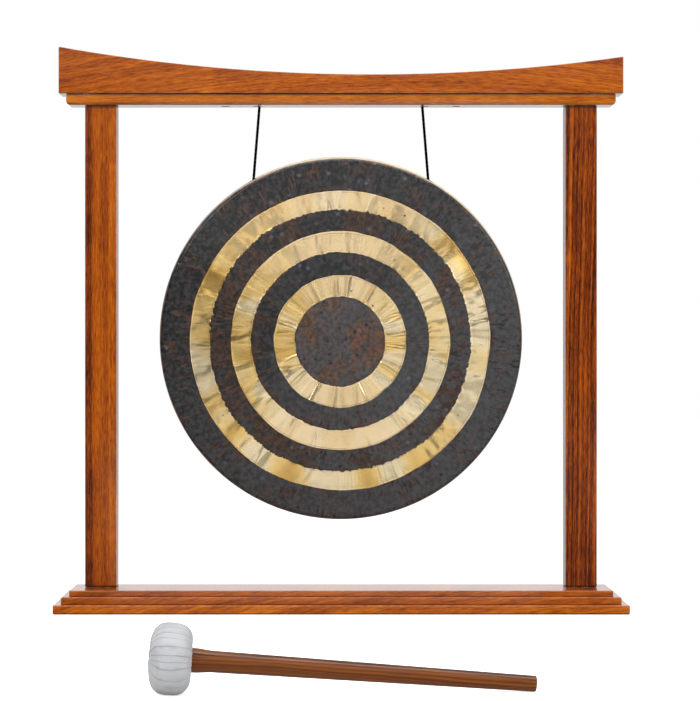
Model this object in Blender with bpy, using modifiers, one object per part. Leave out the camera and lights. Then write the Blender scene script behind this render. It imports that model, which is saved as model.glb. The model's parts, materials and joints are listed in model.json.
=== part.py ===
"""A 14 inch gong hung by a cord in a wooden table stand, with its mallet on the table.

Units are metres, +Z is up, +X runs along the beam and -Y is the front, where the gong's
face looks. The origin is the middle of the base's underside, on the table.
"""

import math

import bmesh
import bpy
from mathutils import Matrix, Vector

# Clearances
SEAT_GAP = 0.0003
HOLE_PLAY = 0.0003
CUTTER_OVERLAP = 0.0003

# The gong: a dished bronze sheet with its rim turned back
GONG_DIAMETER = 0.3556
GONG_SHEET = 0.0015
GONG_DOME = 0.008
GONG_RIM_DEPTH = 0.022
GONG_SHOULDER = 0.004
GONG_LIP = 0.0004
RING_EDGES = ((0.0443, 0.0655), (0.0875, 0.1078), (0.1285, 0.1476))
RING_RELIEF = 0.0003
RING_SLOPE = 0.0008
RIM_HOLE_ANGLE = math.radians(29.1)
RIM_HOLE_BACK = 0.013

# Room left round the gong inside the frame
SIDE_ROOM = 0.04205
HEAD_ROOM = 0.0521
FOOT_ROOM = 0.0643

# The posts, square in section
POST_WIDTH = 0.0306
POST_TO_BACK_EDGE = 0.0062

# The base: three stepped boards
BOARD_THICKNESS = 0.0071
BOARD_STEP = 0.0073
BOARD_DEPTH = 0.074
BOARD_PAST_POST = 0.0121
SOFT_EDGE = 0.0008

# The rail and the beam above it
RAIL_PAST_POST = 0.0185
RAIL_DEPTH = 0.032
RAIL_HEIGHT = 0.0106
RAIL_CORNER = 0.004
BEAM_PAST_RAIL = 0.007
BEAM_DEPTH = 0.040
BEAM_WAIST = 0.0187
BEAM_WAIST_OFFSET = 0.0305
BEAM_ARC_RADIUS = 1.747

# The hanging cord and its holes in the rail
CORD_DIAMETER = 0.0024
RIM_HOLE_CLEARANCE = 0.0026
RAIL_HOLE_CLEARANCE = 0.0061
CORD_HOLE_SPREAD = 0.164
SPARE_HOLE_SPREAD = 0.2268
HOLE_MOUTH_FLARE = 0.0028
GROOVE_CLEARANCE = 0.0026
GROOVE_DEPTH = 0.004
KNOT_DIAMETER = 0.0058
KNOT_DROP = 0.0052

# Fixings
SCREW_DIAMETER = 0.0042
SCREW_LENGTH = 0.050
SCREW_TIP = 0.006
SCREW_HEAD_DIAMETER = 0.0084
SCREW_HEAD_HEIGHT = 0.0024
SCREW_HEAD_CHAMFER = 0.0006
SCREW_RECESS = 0.001
SCREW_SPREAD = 0.015
SCREW_CROSS_LENGTH = 0.0046
SCREW_CROSS_WIDTH = 0.001
SCREW_CROSS_DEPTH = 0.0014
DOWEL_DIAMETER = 0.008
DOWEL_IN_POST = 0.022
DOWEL_IN_BEAM = 0.013
DOWEL_SPREAD = 0.016
DOWEL_CHAMFER = 0.001
DOWEL_END_ROOM = 0.0006

# The mallet
MALLET_HEAD_DIAMETER = 0.0532
MALLET_HEAD_WIDTH = 0.0324
MALLET_HEAD_FULLNESS = 3.2
MALLET_REACH = 0.2718
HANDLE_ROOT_DIAMETER = 0.0184
HANDLE_NECK_DIAMETER = 0.0161
HANDLE_NECK_LENGTH = 0.0155
HANDLE_BUTT_DIAMETER = 0.0120
HANDLE_BUTT_CHAMFER = 0.001
TENON_DIAMETER = 0.012
TENON_LENGTH = 0.0169
COVER_THICKNESS = 0.0012
CORE_DIAMETER = 0.034
CORE_LENGTH = 0.0212
MALLET_PLACE = (-0.129, -0.6534)
MALLET_TURN = math.radians(4.0)

# How finely round shapes are divided
GONG_STEPS = 64
SHOULDER_STEPS = 5
GONG_BACK_STEPS = 8
TURNED_STEPS = 28
HEAD_PROFILE_STEPS = 14
CUTTER_STEPS = 16
BEAM_ARC_STEPS = 36
RAIL_CORNER_STEPS = 5
KNOT_STEPS = 16
KNOT_RINGS = 10
CORD_POINT_SPACING = 2.5 * CORD_DIAMETER

# Sizes that follow from the ones above
gong_radius = GONG_DIAMETER / 2
window_width = GONG_DIAMETER + 2 * SIDE_ROOM
window_height = HEAD_ROOM + GONG_DIAMETER + FOOT_ROOM
board_pitch = BOARD_THICKNESS + SEAT_GAP
base_top = 3 * BOARD_THICKNESS + 2 * SEAT_GAP
post_x = (window_width + POST_WIDTH) / 2
post_y = BOARD_DEPTH / 2 - POST_TO_BACK_EDGE - POST_WIDTH / 2
post_bottom = base_top + SEAT_GAP
post_length = window_height - 2 * SEAT_GAP
post_top = post_bottom + post_length
rail_bottom = base_top + window_height
rail_top = rail_bottom + RAIL_HEIGHT
rail_length = window_width + 2 * POST_WIDTH + 2 * RAIL_PAST_POST
beam_bottom = rail_top + SEAT_GAP
beam_length = rail_length + 2 * BEAM_PAST_RAIL
top_board_width = window_width + 2 * POST_WIDTH + 2 * BOARD_PAST_POST
rim_hole_diameter = CORD_DIAMETER + RIM_HOLE_CLEARANCE
rail_hole_diameter = CORD_DIAMETER + RAIL_HOLE_CLEARANCE


def clear_scene():
    for old in list(bpy.data.objects):
        bpy.data.objects.remove(old, do_unlink=True)


def new_collection(name):
    collection = bpy.data.collections.new(name)
    bpy.context.scene.collection.children.link(collection)
    return collection


clear_scene()
parts = new_collection("wind_gong")
cutters = new_collection("cutters")


def finish(name, colour, roughness, metallic=0.0):
    material = bpy.data.materials.new(name)
    material.use_nodes = True
    shader = material.node_tree.nodes["Principled BSDF"]
    shader.inputs["Base Color"].default_value = (*colour, 1.0)
    shader.inputs["Roughness"].default_value = roughness
    shader.inputs["Metallic"].default_value = metallic
    return material


rosewood = finish("lacquered_rosewood", (0.33, 0.12, 0.03), 0.3)
beech = finish("beech", (0.62, 0.45, 0.28), 0.6)
bronze = finish("oxidised_bronze", (0.07, 0.065, 0.06), 0.45, 1.0)
black_cord = finish("black_cord", (0.01, 0.01, 0.01), 0.7)
zinc_steel = finish("zinc_steel", (0.55, 0.55, 0.56), 0.35, 1.0)
handle_wood = finish("dark_rosewood", (0.16, 0.05, 0.02), 0.3)
white_cloth = finish("white_cloth", (0.72, 0.72, 0.72), 0.9)
grey_felt = finish("grey_felt", (0.4, 0.4, 0.38), 0.95)


def add_object(name, data, material):
    """Put a mesh or curve among the parts, in its own material."""
    if not data.materials:
        data.materials.append(material)
    obj = bpy.data.objects.new(name, data)
    parts.objects.link(obj)
    return obj


def box_mesh(name, size):
    """A box round the origin."""
    mesh = bpy.data.meshes.new(name)
    shape = bmesh.new()
    bmesh.ops.create_cube(shape, size=1.0, matrix=Matrix.Diagonal((*size, 1.0)))
    shape.to_mesh(mesh)
    shape.free()
    return mesh


def rod_mesh(name, bottom_radius, top_radius, length):
    """A closed cylinder or cone round the origin, along Z."""
    mesh = bpy.data.meshes.new(name)
    shape = bmesh.new()
    bmesh.ops.create_cone(
        shape,
        cap_ends=True,
        segments=CUTTER_STEPS,
        radius1=bottom_radius,
        radius2=top_radius,
        depth=length,
    )
    shape.to_mesh(mesh)
    shape.free()
    return mesh


def add_cutter(mesh, location):
    cutter = bpy.data.objects.new(mesh.name, mesh)
    cutters.objects.link(cutter)
    cutter.location = location
    cutter.hide_render = True
    cutter.display_type = "WIRE"
    return cutter


def hole(name, diameter, x, y, bottom, top):
    """A cutter for an upright round hole between two heights."""
    mesh = rod_mesh(name, diameter / 2, diameter / 2, top - bottom)
    return add_cutter(mesh, (x, y, (bottom + top) / 2))


def cut(obj, cutter):
    boolean = obj.modifiers.new(cutter.name, "BOOLEAN")
    boolean.operation = "DIFFERENCE"
    boolean.solver = "EXACT"
    boolean.object = cutter


def soften(obj, width, segments=2):
    """Round the edges that meet at more than 30 degrees."""
    bevel = obj.modifiers.new("soft_edges", "BEVEL")
    bevel.width = width
    bevel.segments = segments
    bevel.limit_method = "ANGLE"
    bevel.angle_limit = math.radians(30)


def turned(name, profile, steps, material):
    """A turned piece round its local Z, from a profile of (radius, height) read downwards."""
    mesh = bpy.data.meshes.new(name)
    shape = bmesh.new()
    points = [shape.verts.new((radius, 0.0, height)) for radius, height in profile]
    closed = min(radius for radius, height in profile) > 0
    for first, second in zip(points, points[1:] + points[:1] if closed else points[1:]):
        shape.edges.new((first, second))
    shape.to_mesh(mesh)
    shape.free()
    obj = add_object(name, mesh, material)
    screw = obj.modifiers.new("turn", "SCREW")
    screw.axis = "Z"
    screw.steps = steps
    screw.render_steps = steps
    screw.use_merge_vertices = True
    screw.merge_threshold = 1e-6
    screw.use_smooth_shade = True
    return obj


def solid_mesh(obj, name, weld=1e-6):
    """The evaluated mesh of an object, welded, with the object and its modifiers gone."""
    bpy.context.view_layer.update()
    graph = bpy.context.evaluated_depsgraph_get()
    mesh = bpy.data.meshes.new_from_object(obj.evaluated_get(graph))
    mesh.name = name
    shape = bmesh.new()
    shape.from_mesh(mesh)
    bmesh.ops.remove_doubles(shape, verts=shape.verts, dist=weld)
    shape.to_mesh(mesh)
    shape.free()
    bpy.data.objects.remove(obj, do_unlink=True)
    return mesh


def add_axis(name, location, parent=None):
    """An empty on a joint's axis, which carries what turns about it."""
    empty = bpy.data.objects.new(name, None)
    parts.objects.link(empty)
    empty.location = location
    if parent:
        carry(empty, parent)
    return empty


def carry(obj, parent):
    """Make parent carry obj without moving it."""
    bpy.context.view_layer.update()
    obj.parent = parent
    obj.matrix_parent_inverse = parent.matrix_world.inverted()


# The base boards, bottom first, each a step smaller all round than the one below


def screw_places():
    """Each base screw's name and place: two under each post, one behind the other."""
    for side_name, side in (("left", -1), ("right", 1)):
        for place_name, place in (("front", -1), ("back", 1)):
            where = (side * post_x, post_y + place * SCREW_SPREAD / 2)
            yield f"{side_name}_{place_name}", where


screw_reach = SCREW_RECESS + SCREW_HEAD_HEIGHT + SCREW_LENGTH
screw_seat = SCREW_RECESS + SCREW_HEAD_HEIGHT + SEAT_GAP
screw_holes = []
head_holes = []
for place_name, (x, y) in screw_places():
    screw_holes.append(
        hole(
            f"screw_hole_{place_name}",
            SCREW_DIAMETER + 2 * HOLE_PLAY,
            x,
            y,
            -SCREW_RECESS,
            screw_reach + SEAT_GAP,
        )
    )
    head_holes.append(
        hole(
            f"head_hole_{place_name}",
            SCREW_HEAD_DIAMETER + 2 * HOLE_PLAY,
            x,
            y,
            -SCREW_RECESS,
            screw_seat,
        )
    )

boards = []
for level, board_name in enumerate(("bottom", "middle", "top")):
    spread = 2 * BOARD_STEP * (2 - level)
    size = (top_board_width + spread, BOARD_DEPTH + spread, BOARD_THICKNESS)
    board = add_object(f"base_board_{board_name}", box_mesh(board_name, size), rosewood)
    board.location.z = level * board_pitch + BOARD_THICKNESS / 2
    soften(board, SOFT_EDGE)
    for cutter in screw_holes:
        cut(board, cutter)
    boards.append(board)
for cutter in head_holes:
    cut(boards[0], cutter)


# The posts, with blind holes for the screws below and the dowels above


def dowel_places():
    """Each dowel's side, name and place: two in each post, one behind the other."""
    for side_name, side in (("left", -1), ("right", 1)):
        for place_name, place in (("front", -1), ("back", 1)):
            where = (side * post_x, post_y + place * DOWEL_SPREAD / 2)
            yield f"{side_name}_{place_name}", where


dowel_bottom = post_top - DOWEL_IN_POST
dowel_top = beam_bottom + DOWEL_IN_BEAM
dowel_holes = []
for place_name, (x, y) in dowel_places():
    dowel_holes.append(
        hole(
            f"dowel_hole_{place_name}",
            DOWEL_DIAMETER + 2 * HOLE_PLAY,
            x,
            y,
            dowel_bottom - DOWEL_END_ROOM,
            dowel_top + DOWEL_END_ROOM,
        )
    )

for side_name, side in (("left", -1), ("right", 1)):
    size = (POST_WIDTH, POST_WIDTH, post_length)
    post = add_object(f"post_{side_name}", box_mesh(side_name, size), rosewood)
    post.location = (side * post_x, post_y, post_bottom + post_length / 2)
    soften(post, SOFT_EDGE)
    for cutter in screw_holes + dowel_holes:
        if cutter.location.x * side > 0:
            cut(post, cutter)


# The rail, with its two rounded lower corners, four cord holes and the cord's groove


def rail_mesh():
    mesh = box_mesh("rail", (rail_length, RAIL_DEPTH, RAIL_HEIGHT))
    shape = bmesh.new()
    shape.from_mesh(mesh)
    lower_ends = []
    for edge in shape.edges:
        first, second = (vert.co for vert in edge.verts)
        if max(first.z, second.z) < 0 and first.x * second.x > 0:
            lower_ends.append(edge)
    bmesh.ops.bevel(
        shape,
        geom=lower_ends,
        offset=RAIL_CORNER,
        segments=RAIL_CORNER_STEPS,
        profile=0.5,
        affect="EDGES",
    )
    shape.to_mesh(mesh)
    shape.free()
    return mesh


rail = add_object("rail", rail_mesh(), rosewood)
rail.location = (0, post_y, rail_bottom + RAIL_HEIGHT / 2)
soften(rail, SOFT_EDGE)
for cutter in dowel_holes:
    cut(rail, cutter)

groove_floor = rail_top - GROOVE_DEPTH
groove_width = CORD_DIAMETER + GROOVE_CLEARANCE
groove_size = (SPARE_HOLE_SPREAD, groove_width, 2 * GROOVE_DEPTH)
cut(rail, add_cutter(box_mesh("cord_groove", groove_size), (0, post_y, rail_top)))
for hole_name, spread in (("cord", CORD_HOLE_SPREAD), ("spare", SPARE_HOLE_SPREAD)):
    for side_name, side in (("left", -1), ("right", 1)):
        name = f"{hole_name}_hole_{side_name}"
        x = side * spread / 2
        below = rail_bottom - RAIL_HEIGHT
        above = rail_top + RAIL_HEIGHT
        cut(rail, hole(name, rail_hole_diameter, x, post_y, below, above))
        flare = rod_mesh(
            f"{hole_name}_flare_{side_name}",
            rail_hole_diameter / 2 - CUTTER_OVERLAP,
            rail_hole_diameter / 2 + HOLE_MOUTH_FLARE + CUTTER_OVERLAP,
            HOLE_MOUTH_FLARE + 2 * CUTTER_OVERLAP,
        )
        flare_middle = groove_floor - HOLE_MOUTH_FLARE / 2
        cut(rail, add_cutter(flare, (x, post_y, flare_middle)))


# The beam: flat below, and hollowed above in one long arc that is lowest right of the middle


def beam_outline():
    """The beam's front view as (x, height above its underside)."""
    half = beam_length / 2
    arc_centre = BEAM_WAIST + BEAM_ARC_RADIUS
    outline = [(-half, 0.0), (half, 0.0)]
    for step in range(BEAM_ARC_STEPS + 1):
        x = half - beam_length * step / BEAM_ARC_STEPS
        rise = math.sqrt(BEAM_ARC_RADIUS**2 - (x - BEAM_WAIST_OFFSET) ** 2)
        outline.append((x, arc_centre - rise))
    return outline


def beam_mesh():
    curve = bpy.data.curves.new("beam", "CURVE")
    curve.dimensions = "2D"
    curve.fill_mode = "BOTH"
    curve.extrude = BEAM_DEPTH / 2
    outline = beam_outline()
    spline = curve.splines.new("POLY")
    spline.points.add(len(outline) - 1)
    for point, (x, height) in zip(spline.points, outline):
        point.co = (x, height, 0.0, 1.0)
    spline.use_cyclic_u = True
    sheet = bpy.data.objects.new("beam_sheet", curve)
    parts.objects.link(sheet)
    mesh = solid_mesh(sheet, "beam")
    mesh.transform(Matrix.Rotation(math.radians(90), 4, "X"))
    return mesh


beam = add_object("beam", beam_mesh(), rosewood)
beam.location = (0, post_y, beam_bottom)
soften(beam, SOFT_EDGE)
for cutter in dowel_holes:
    cut(beam, cutter)


# The fixings: cross-headed screws up through the base, and dowels down through the rail


def screw_mesh():
    """A screw with its head's face at the origin and its tip above, and a cross recess."""
    shank = SCREW_DIAMETER / 2
    head = SCREW_HEAD_DIAMETER / 2
    length = SCREW_HEAD_HEIGHT + SCREW_LENGTH
    profile = [
        (0.0, length),
        (shank, length - SCREW_TIP),
        (shank, SCREW_HEAD_HEIGHT),
        (head, SCREW_HEAD_HEIGHT),
        (head, SCREW_HEAD_CHAMFER),
        (head - SCREW_HEAD_CHAMFER, 0.0),
        (0.0, 0.0),
    ]
    blank = turned("screw_blank", profile, CUTTER_STEPS, zinc_steel)
    long_way = (SCREW_CROSS_LENGTH, SCREW_CROSS_WIDTH, 2 * SCREW_CROSS_DEPTH)
    short_way = (SCREW_CROSS_WIDTH, SCREW_CROSS_LENGTH, 2 * SCREW_CROSS_DEPTH)
    cut(blank, add_cutter(box_mesh("cross_recess_x", long_way), (0, 0, 0)))
    cut(blank, add_cutter(box_mesh("cross_recess_y", short_way), (0, 0, 0)))
    return solid_mesh(blank, "base_screw")


def dowel_mesh():
    radius = DOWEL_DIAMETER / 2
    length = dowel_top - dowel_bottom
    profile = [
        (0.0, length),
        (radius - DOWEL_CHAMFER, length),
        (radius, length - DOWEL_CHAMFER),
        (radius, DOWEL_CHAMFER),
        (radius - DOWEL_CHAMFER, 0.0),
        (0.0, 0.0),
    ]
    return solid_mesh(turned("dowel_blank", profile, CUTTER_STEPS, beech), "dowel")


one_screw = screw_mesh()
for place_name, (x, y) in screw_places():
    base_screw = add_object(f"base_screw_{place_name}", one_screw, zinc_steel)
    base_screw.location = (x, y, SCREW_RECESS)

one_dowel = dowel_mesh()
for place_name, (x, y) in dowel_places():
    dowel = add_object(f"top_dowel_{place_name}", one_dowel, beech)
    dowel.location = (x, y, dowel_bottom)


# The gong, turned round its local Z, which points out of its face


def face_height(radius):
    """How far the face's dome stands in front of the shoulder's plane."""
    return GONG_DOME * (1 - (radius / (gong_radius - GONG_SHOULDER)) ** 2)


def front_profile():
    """The face from the middle out, with the bright rings scraped a little lower."""
    points = [(0.0, face_height(0.0)), (RING_EDGES[0][0] / 2, face_height(RING_EDGES[0][0] / 2))]
    for inner, outer in RING_EDGES:
        middle = (inner + outer) / 2
        points.append((inner, face_height(inner)))
        for radius in (inner + RING_SLOPE, middle, outer - RING_SLOPE):
            points.append((radius, face_height(radius) - RING_RELIEF))
        points.append((outer, face_height(outer)))
    last_ring = RING_EDGES[-1][1]
    margin = gong_radius - GONG_SHOULDER - last_ring
    points.append((last_ring + margin / 2, face_height(last_ring + margin / 2)))
    return points


def shoulder_points(radius):
    """The rounded turn from the face to the rim, at the outside or the inside of the sheet."""
    centre = gong_radius - GONG_SHOULDER
    for step in range(SHOULDER_STEPS + 1):
        angle = math.radians(90) * step / SHOULDER_STEPS
        yield (centre + radius * math.sin(angle), radius * math.cos(angle) - GONG_SHOULDER)


def gong_profile():
    inner_radius = gong_radius - GONG_SHEET
    points = front_profile()
    points += list(shoulder_points(GONG_SHOULDER))
    points.append((gong_radius, GONG_LIP - GONG_RIM_DEPTH))
    points.append((gong_radius - GONG_LIP, -GONG_RIM_DEPTH))
    points.append((inner_radius + GONG_LIP, -GONG_RIM_DEPTH))
    points.append((inner_radius, GONG_LIP - GONG_RIM_DEPTH))
    points += reversed(list(shoulder_points(GONG_SHOULDER - GONG_SHEET)))
    for step in range(1, GONG_BACK_STEPS + 1):
        radius = (gong_radius - GONG_SHOULDER) * (1 - step / GONG_BACK_STEPS)
        points.append((radius, face_height(radius) - GONG_SHEET))
    return points


def mass_centre_height(profile):
    """The height of the centre of mass of a turned solid, from its profile's loop."""
    volume = 0.0
    moment = 0.0
    for (r1, z1), (r2, z2) in zip(profile, profile[1:] + profile[:1]):
        area = (r1 * z2 - r2 * z1) / 2
        volume += area * (r1 + r2) / 3
        moment += area * ((r1 + r2) * (z1 + z2) + r1 * z1 + r2 * z2) / 12
    return moment / volume


# The gong hangs with its centre of mass below its holes, so its face looks down a little
rim_middle = gong_radius - GONG_SHEET / 2
hole_up = rim_middle * math.cos(RIM_HOLE_ANGLE)
hole_x = rim_middle * math.sin(RIM_HOLE_ANGLE)
gong_lean = math.atan2(RIM_HOLE_BACK + mass_centre_height(gong_profile()), hole_up)
gong_z = rail_bottom - HEAD_ROOM - gong_radius
hole_z = gong_z + hole_up * math.cos(gong_lean) + RIM_HOLE_BACK * math.sin(gong_lean)
gong_y = post_y + hole_up * math.sin(gong_lean) - RIM_HOLE_BACK * math.cos(gong_lean)
gong_turn = Matrix.Rotation(math.radians(90) + gong_lean, 4, "X")

swing_axis = add_axis("gong_swing_axis", (0, post_y, rail_bottom))
tilt_axis = add_axis("gong_tilt_axis", (0, post_y, hole_z), swing_axis)

gong = turned("gong_disc", gong_profile(), GONG_STEPS, bronze)
gong.matrix_world = Matrix.Translation((0, gong_y, gong_z)) @ gong_turn
carry(gong, tilt_axis)
for side_name, side in (("left", -1), ("right", 1)):
    drill = rod_mesh(
        f"rim_hole_{side_name}",
        rim_hole_diameter / 2,
        rim_hole_diameter / 2,
        2 * GONG_SHOULDER,
    )
    cutter = add_cutter(drill, (0, 0, 0))
    out_of_rim = Matrix.Rotation(-side * RIM_HOLE_ANGLE, 4, "Z")
    along_radius = Matrix.Rotation(math.radians(-90), 4, "X")
    to_rim = Matrix.Translation((0, rim_middle, -RIM_HOLE_BACK))
    cutter.matrix_world = gong.matrix_world @ out_of_rim @ to_rim @ along_radius
    cut(gong, cutter)


# The cord: one length, knotted inside the rim at both ends and laid over the rail's groove


def smooth_route(points, spacing):
    """Points along a Catmull-Rom curve through the route, about one spacing apart."""
    ends = [2 * Vector(points[0]) - Vector(points[1]), 2 * Vector(points[-1]) - Vector(points[-2])]
    chain = [ends[0]] + [Vector(point) for point in points] + [ends[1]]
    route = [chain[1]]
    for before, start, end, after in zip(chain, chain[1:], chain[2:], chain[3:]):
        pieces = max(1, round((end - start).length / spacing))
        for step in range(1, pieces + 1):
            t = step / pieces
            route.append(
                0.5
                * (
                    2 * start
                    + (end - before) * t
                    + (2 * before - 5 * start + 4 * end - after) * t**2
                    + (3 * start - 3 * end + after - before) * t**3
                )
            )
    return route


def add_cord(name, points):
    """A round tube along a smooth curve through the points."""
    curve = bpy.data.curves.new(name, "CURVE")
    curve.dimensions = "3D"
    curve.bevel_depth = CORD_DIAMETER / 2
    curve.bevel_resolution = 2
    curve.use_fill_caps = True
    route = smooth_route(points, CORD_POINT_SPACING)
    spline = curve.splines.new("POLY")
    spline.points.add(len(route) - 1)
    for point, place in zip(spline.points, route):
        point.co = (*place, 1.0)
    return add_object(name, curve, black_cord)


# Each strand runs straight and tight from the rail's mouth to its knot inside the rim
STRAND_ROUTE = (
    (0.08015, 0.0155, 0.4934),
    (0.08171, 0.0155, 0.4740),
    (0.08340, 0.0155, 0.4530),
    (0.08509, 0.0155, 0.4320),
    (0.08627, 0.0155, 0.41726),
)
# The stretch between the strands goes up each hole and along the groove under the beam
BRIDGE_ROUTE = (
    (0.08010, 0.0155, 0.4939),
    (0.07985, 0.0155, 0.4963),
    (0.07930, 0.0155, 0.4984),
    (0.07800, 0.0155, 0.5004),
    (0.07600, 0.0155, 0.5017),
    (0.07340, 0.0155, 0.50215),
    (0.06900, 0.0155, 0.5022),
    (0.03500, 0.0155, 0.5022),
    (0.00000, 0.0155, 0.5022),
)

mirrored_bridge = [(-x, y, z) for x, y, z in BRIDGE_ROUTE[:-1]]
whole_bridge = mirrored_bridge + list(reversed(BRIDGE_ROUTE))
add_cord("hanger_cord_bridge", whole_bridge)

for side_name, side in (("left", -1), ("right", 1)):
    strand = [(side * x, y, z) for x, y, z in STRAND_ROUTE]
    cord = add_cord(f"hanger_cord_{side_name}", strand)
    carry(cord, swing_axis)
    along = (Vector(strand[-1]) - Vector(strand[0])).normalized()
    knot_mesh = bpy.data.meshes.new(f"rim_knot_{side_name}")
    knot_shape = bmesh.new()
    bmesh.ops.create_uvsphere(
        knot_shape, u_segments=KNOT_STEPS, v_segments=KNOT_RINGS, radius=KNOT_DIAMETER / 2
    )
    knot_shape.to_mesh(knot_mesh)
    knot_shape.free()
    knot_mesh.shade_smooth()
    knot = add_object(f"rim_knot_{side_name}", knot_mesh, black_cord)
    knot.location = Vector((side * hole_x, post_y, hole_z)) + along * KNOT_DROP
    carry(knot, swing_axis)


# The mallet, turned round its local Z, which runs from the middle of its head to its butt


def skin_profile(depth):
    """A full-cornered barrel at a depth under the head's cover, read from the handle's hole
    to the far pole as (radius, place along the handle)."""
    radius = MALLET_HEAD_DIAMETER / 2 - depth
    half_width = MALLET_HEAD_WIDTH / 2 - depth
    power = 2 / MALLET_HEAD_FULLNESS
    first_angle = math.asin((handle_hole / radius) ** (MALLET_HEAD_FULLNESS / 2))
    points = []
    for step in range(HEAD_PROFILE_STEPS):
        angle = first_angle + (math.pi - first_angle) * step / HEAD_PROFILE_STEPS
        across = radius * abs(math.sin(angle)) ** power
        along = math.copysign(half_width * abs(math.cos(angle)) ** power, math.cos(angle))
        points.append((across, along))
    return points + [(0.0, -half_width)]


handle_hole = HANDLE_ROOT_DIAMETER / 2 + HOLE_PLAY
butt_radius = HANDLE_BUTT_DIAMETER / 2
core_front = CORE_LENGTH / 2
core_back = -CORE_LENGTH / 2
root_start = core_front + SEAT_GAP

# It lies on its head and the lower edge of its butt, so its handle slopes down
mallet_slope = max(
    math.atan2(radius - butt_radius, MALLET_REACH - HANDLE_BUTT_CHAMFER - along)
    for radius, along in skin_profile(0.0)
)
lift = max(
    along * math.sin(mallet_slope) + radius * math.cos(mallet_slope)
    for radius, along in skin_profile(0.0)
)
mallet_frame = add_axis("mallet_frame", (0, 0, 0))
mallet_frame.matrix_world = (
    Matrix.Translation((*MALLET_PLACE, lift))
    @ Matrix.Rotation(MALLET_TURN, 4, "Z")
    @ Matrix.Rotation(math.radians(90) + mallet_slope, 4, "Y")
)

handle_profile = [
    (0.0, MALLET_REACH),
    (butt_radius - HANDLE_BUTT_CHAMFER, MALLET_REACH),
    (butt_radius, MALLET_REACH - HANDLE_BUTT_CHAMFER),
    (HANDLE_NECK_DIAMETER / 2, MALLET_HEAD_WIDTH / 2 + HANDLE_NECK_LENGTH),
    (HANDLE_ROOT_DIAMETER / 2, MALLET_HEAD_WIDTH / 2),
    (HANDLE_ROOT_DIAMETER / 2, root_start),
    (TENON_DIAMETER / 2, root_start),
    (TENON_DIAMETER / 2, root_start - TENON_LENGTH),
    (0.0, root_start - TENON_LENGTH),
]
bore_radius = TENON_DIAMETER / 2 + HOLE_PLAY
bore_end = root_start - TENON_LENGTH - SEAT_GAP
core_profile = [
    (0.0, bore_end),
    (bore_radius, bore_end),
    (bore_radius, core_front),
    (CORE_DIAMETER / 2, core_front),
    (CORE_DIAMETER / 2, core_back),
    (0.0, core_back),
]
felt_depth = COVER_THICKNESS + SEAT_GAP
cavity_radius = CORE_DIAMETER / 2 + SEAT_GAP
felt_cavity = [
    (0.0, core_back - SEAT_GAP),
    (cavity_radius, core_back - SEAT_GAP),
    (cavity_radius, root_start),
    (handle_hole, root_start),
]
cover_lining = list(reversed(skin_profile(COVER_THICKNESS)))

for piece_name, profile, material in (
    ("mallet_handle", handle_profile, handle_wood),
    ("mallet_core", core_profile, beech),
    ("mallet_felt", felt_cavity + skin_profile(felt_depth), grey_felt),
    ("mallet_cover", cover_lining + skin_profile(0.0), white_cloth),
):
    piece = turned(piece_name, profile, TURNED_STEPS, material)
    piece.parent = mallet_frame
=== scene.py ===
"""A 14 inch gong in its table stand of lacquered hardwood, with the mallet in front of it.

Units are metres, +Z is up and the player stands at -Y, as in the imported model.
"""

import math
from types import SimpleNamespace

import bmesh
import bpy
from mathutils import Matrix, Vector
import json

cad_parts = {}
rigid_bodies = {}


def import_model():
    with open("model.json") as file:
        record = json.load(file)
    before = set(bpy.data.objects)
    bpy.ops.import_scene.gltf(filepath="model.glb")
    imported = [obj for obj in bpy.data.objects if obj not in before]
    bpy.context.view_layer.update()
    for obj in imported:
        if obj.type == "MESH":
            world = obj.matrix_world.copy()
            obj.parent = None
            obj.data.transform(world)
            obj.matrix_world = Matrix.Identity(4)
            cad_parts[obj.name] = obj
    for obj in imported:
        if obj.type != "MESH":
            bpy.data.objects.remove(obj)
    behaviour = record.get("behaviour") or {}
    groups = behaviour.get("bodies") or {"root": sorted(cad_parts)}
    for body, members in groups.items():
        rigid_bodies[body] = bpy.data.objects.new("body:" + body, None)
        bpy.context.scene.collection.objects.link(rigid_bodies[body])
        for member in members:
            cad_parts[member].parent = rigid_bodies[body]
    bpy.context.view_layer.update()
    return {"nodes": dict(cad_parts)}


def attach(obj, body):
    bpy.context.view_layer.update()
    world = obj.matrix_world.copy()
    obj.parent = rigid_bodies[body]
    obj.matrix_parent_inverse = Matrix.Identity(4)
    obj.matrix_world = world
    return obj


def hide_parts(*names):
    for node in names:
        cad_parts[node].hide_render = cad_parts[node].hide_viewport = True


for old in list(bpy.data.objects):
    bpy.data.objects.remove(old)
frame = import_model()
cad_nodes = frame["nodes"]


# The camera
# It stands 2.6 m in front of the stand, about level with the gong's middle. Its picture is
# slid a little to the right, because the photograph's middle lies right of its line of sight.

CAMERA_PLACE = (-0.01565, -2.637, 0.2536)
CAMERA_LENS = 138.4
PICTURE_WIDTH = 700
SIGHT_LINE_COLUMN = 325


def placed(name, data):
    """A new object in the scene."""
    obj = bpy.data.objects.new(name, data)
    bpy.context.scene.collection.objects.link(obj)
    return obj


camera_data = bpy.data.cameras.new("photograph")
camera_data.sensor_width = 36
camera_data.lens = CAMERA_LENS
camera_data.shift_x = (PICTURE_WIDTH / 2 - SIGHT_LINE_COLUMN) / PICTURE_WIDTH
camera = placed("photograph", camera_data)
camera.location = CAMERA_PLACE
camera.rotation_euler = (math.radians(90), 0, 0)
bpy.context.scene.camera = camera


# The wood of the stand
# One reddish-brown rosewood, planed, stained and sprayed with clear gloss lacquer. Each piece
# is sawn from another place in the log, so each has its own distance to the heart and slant.

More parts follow.
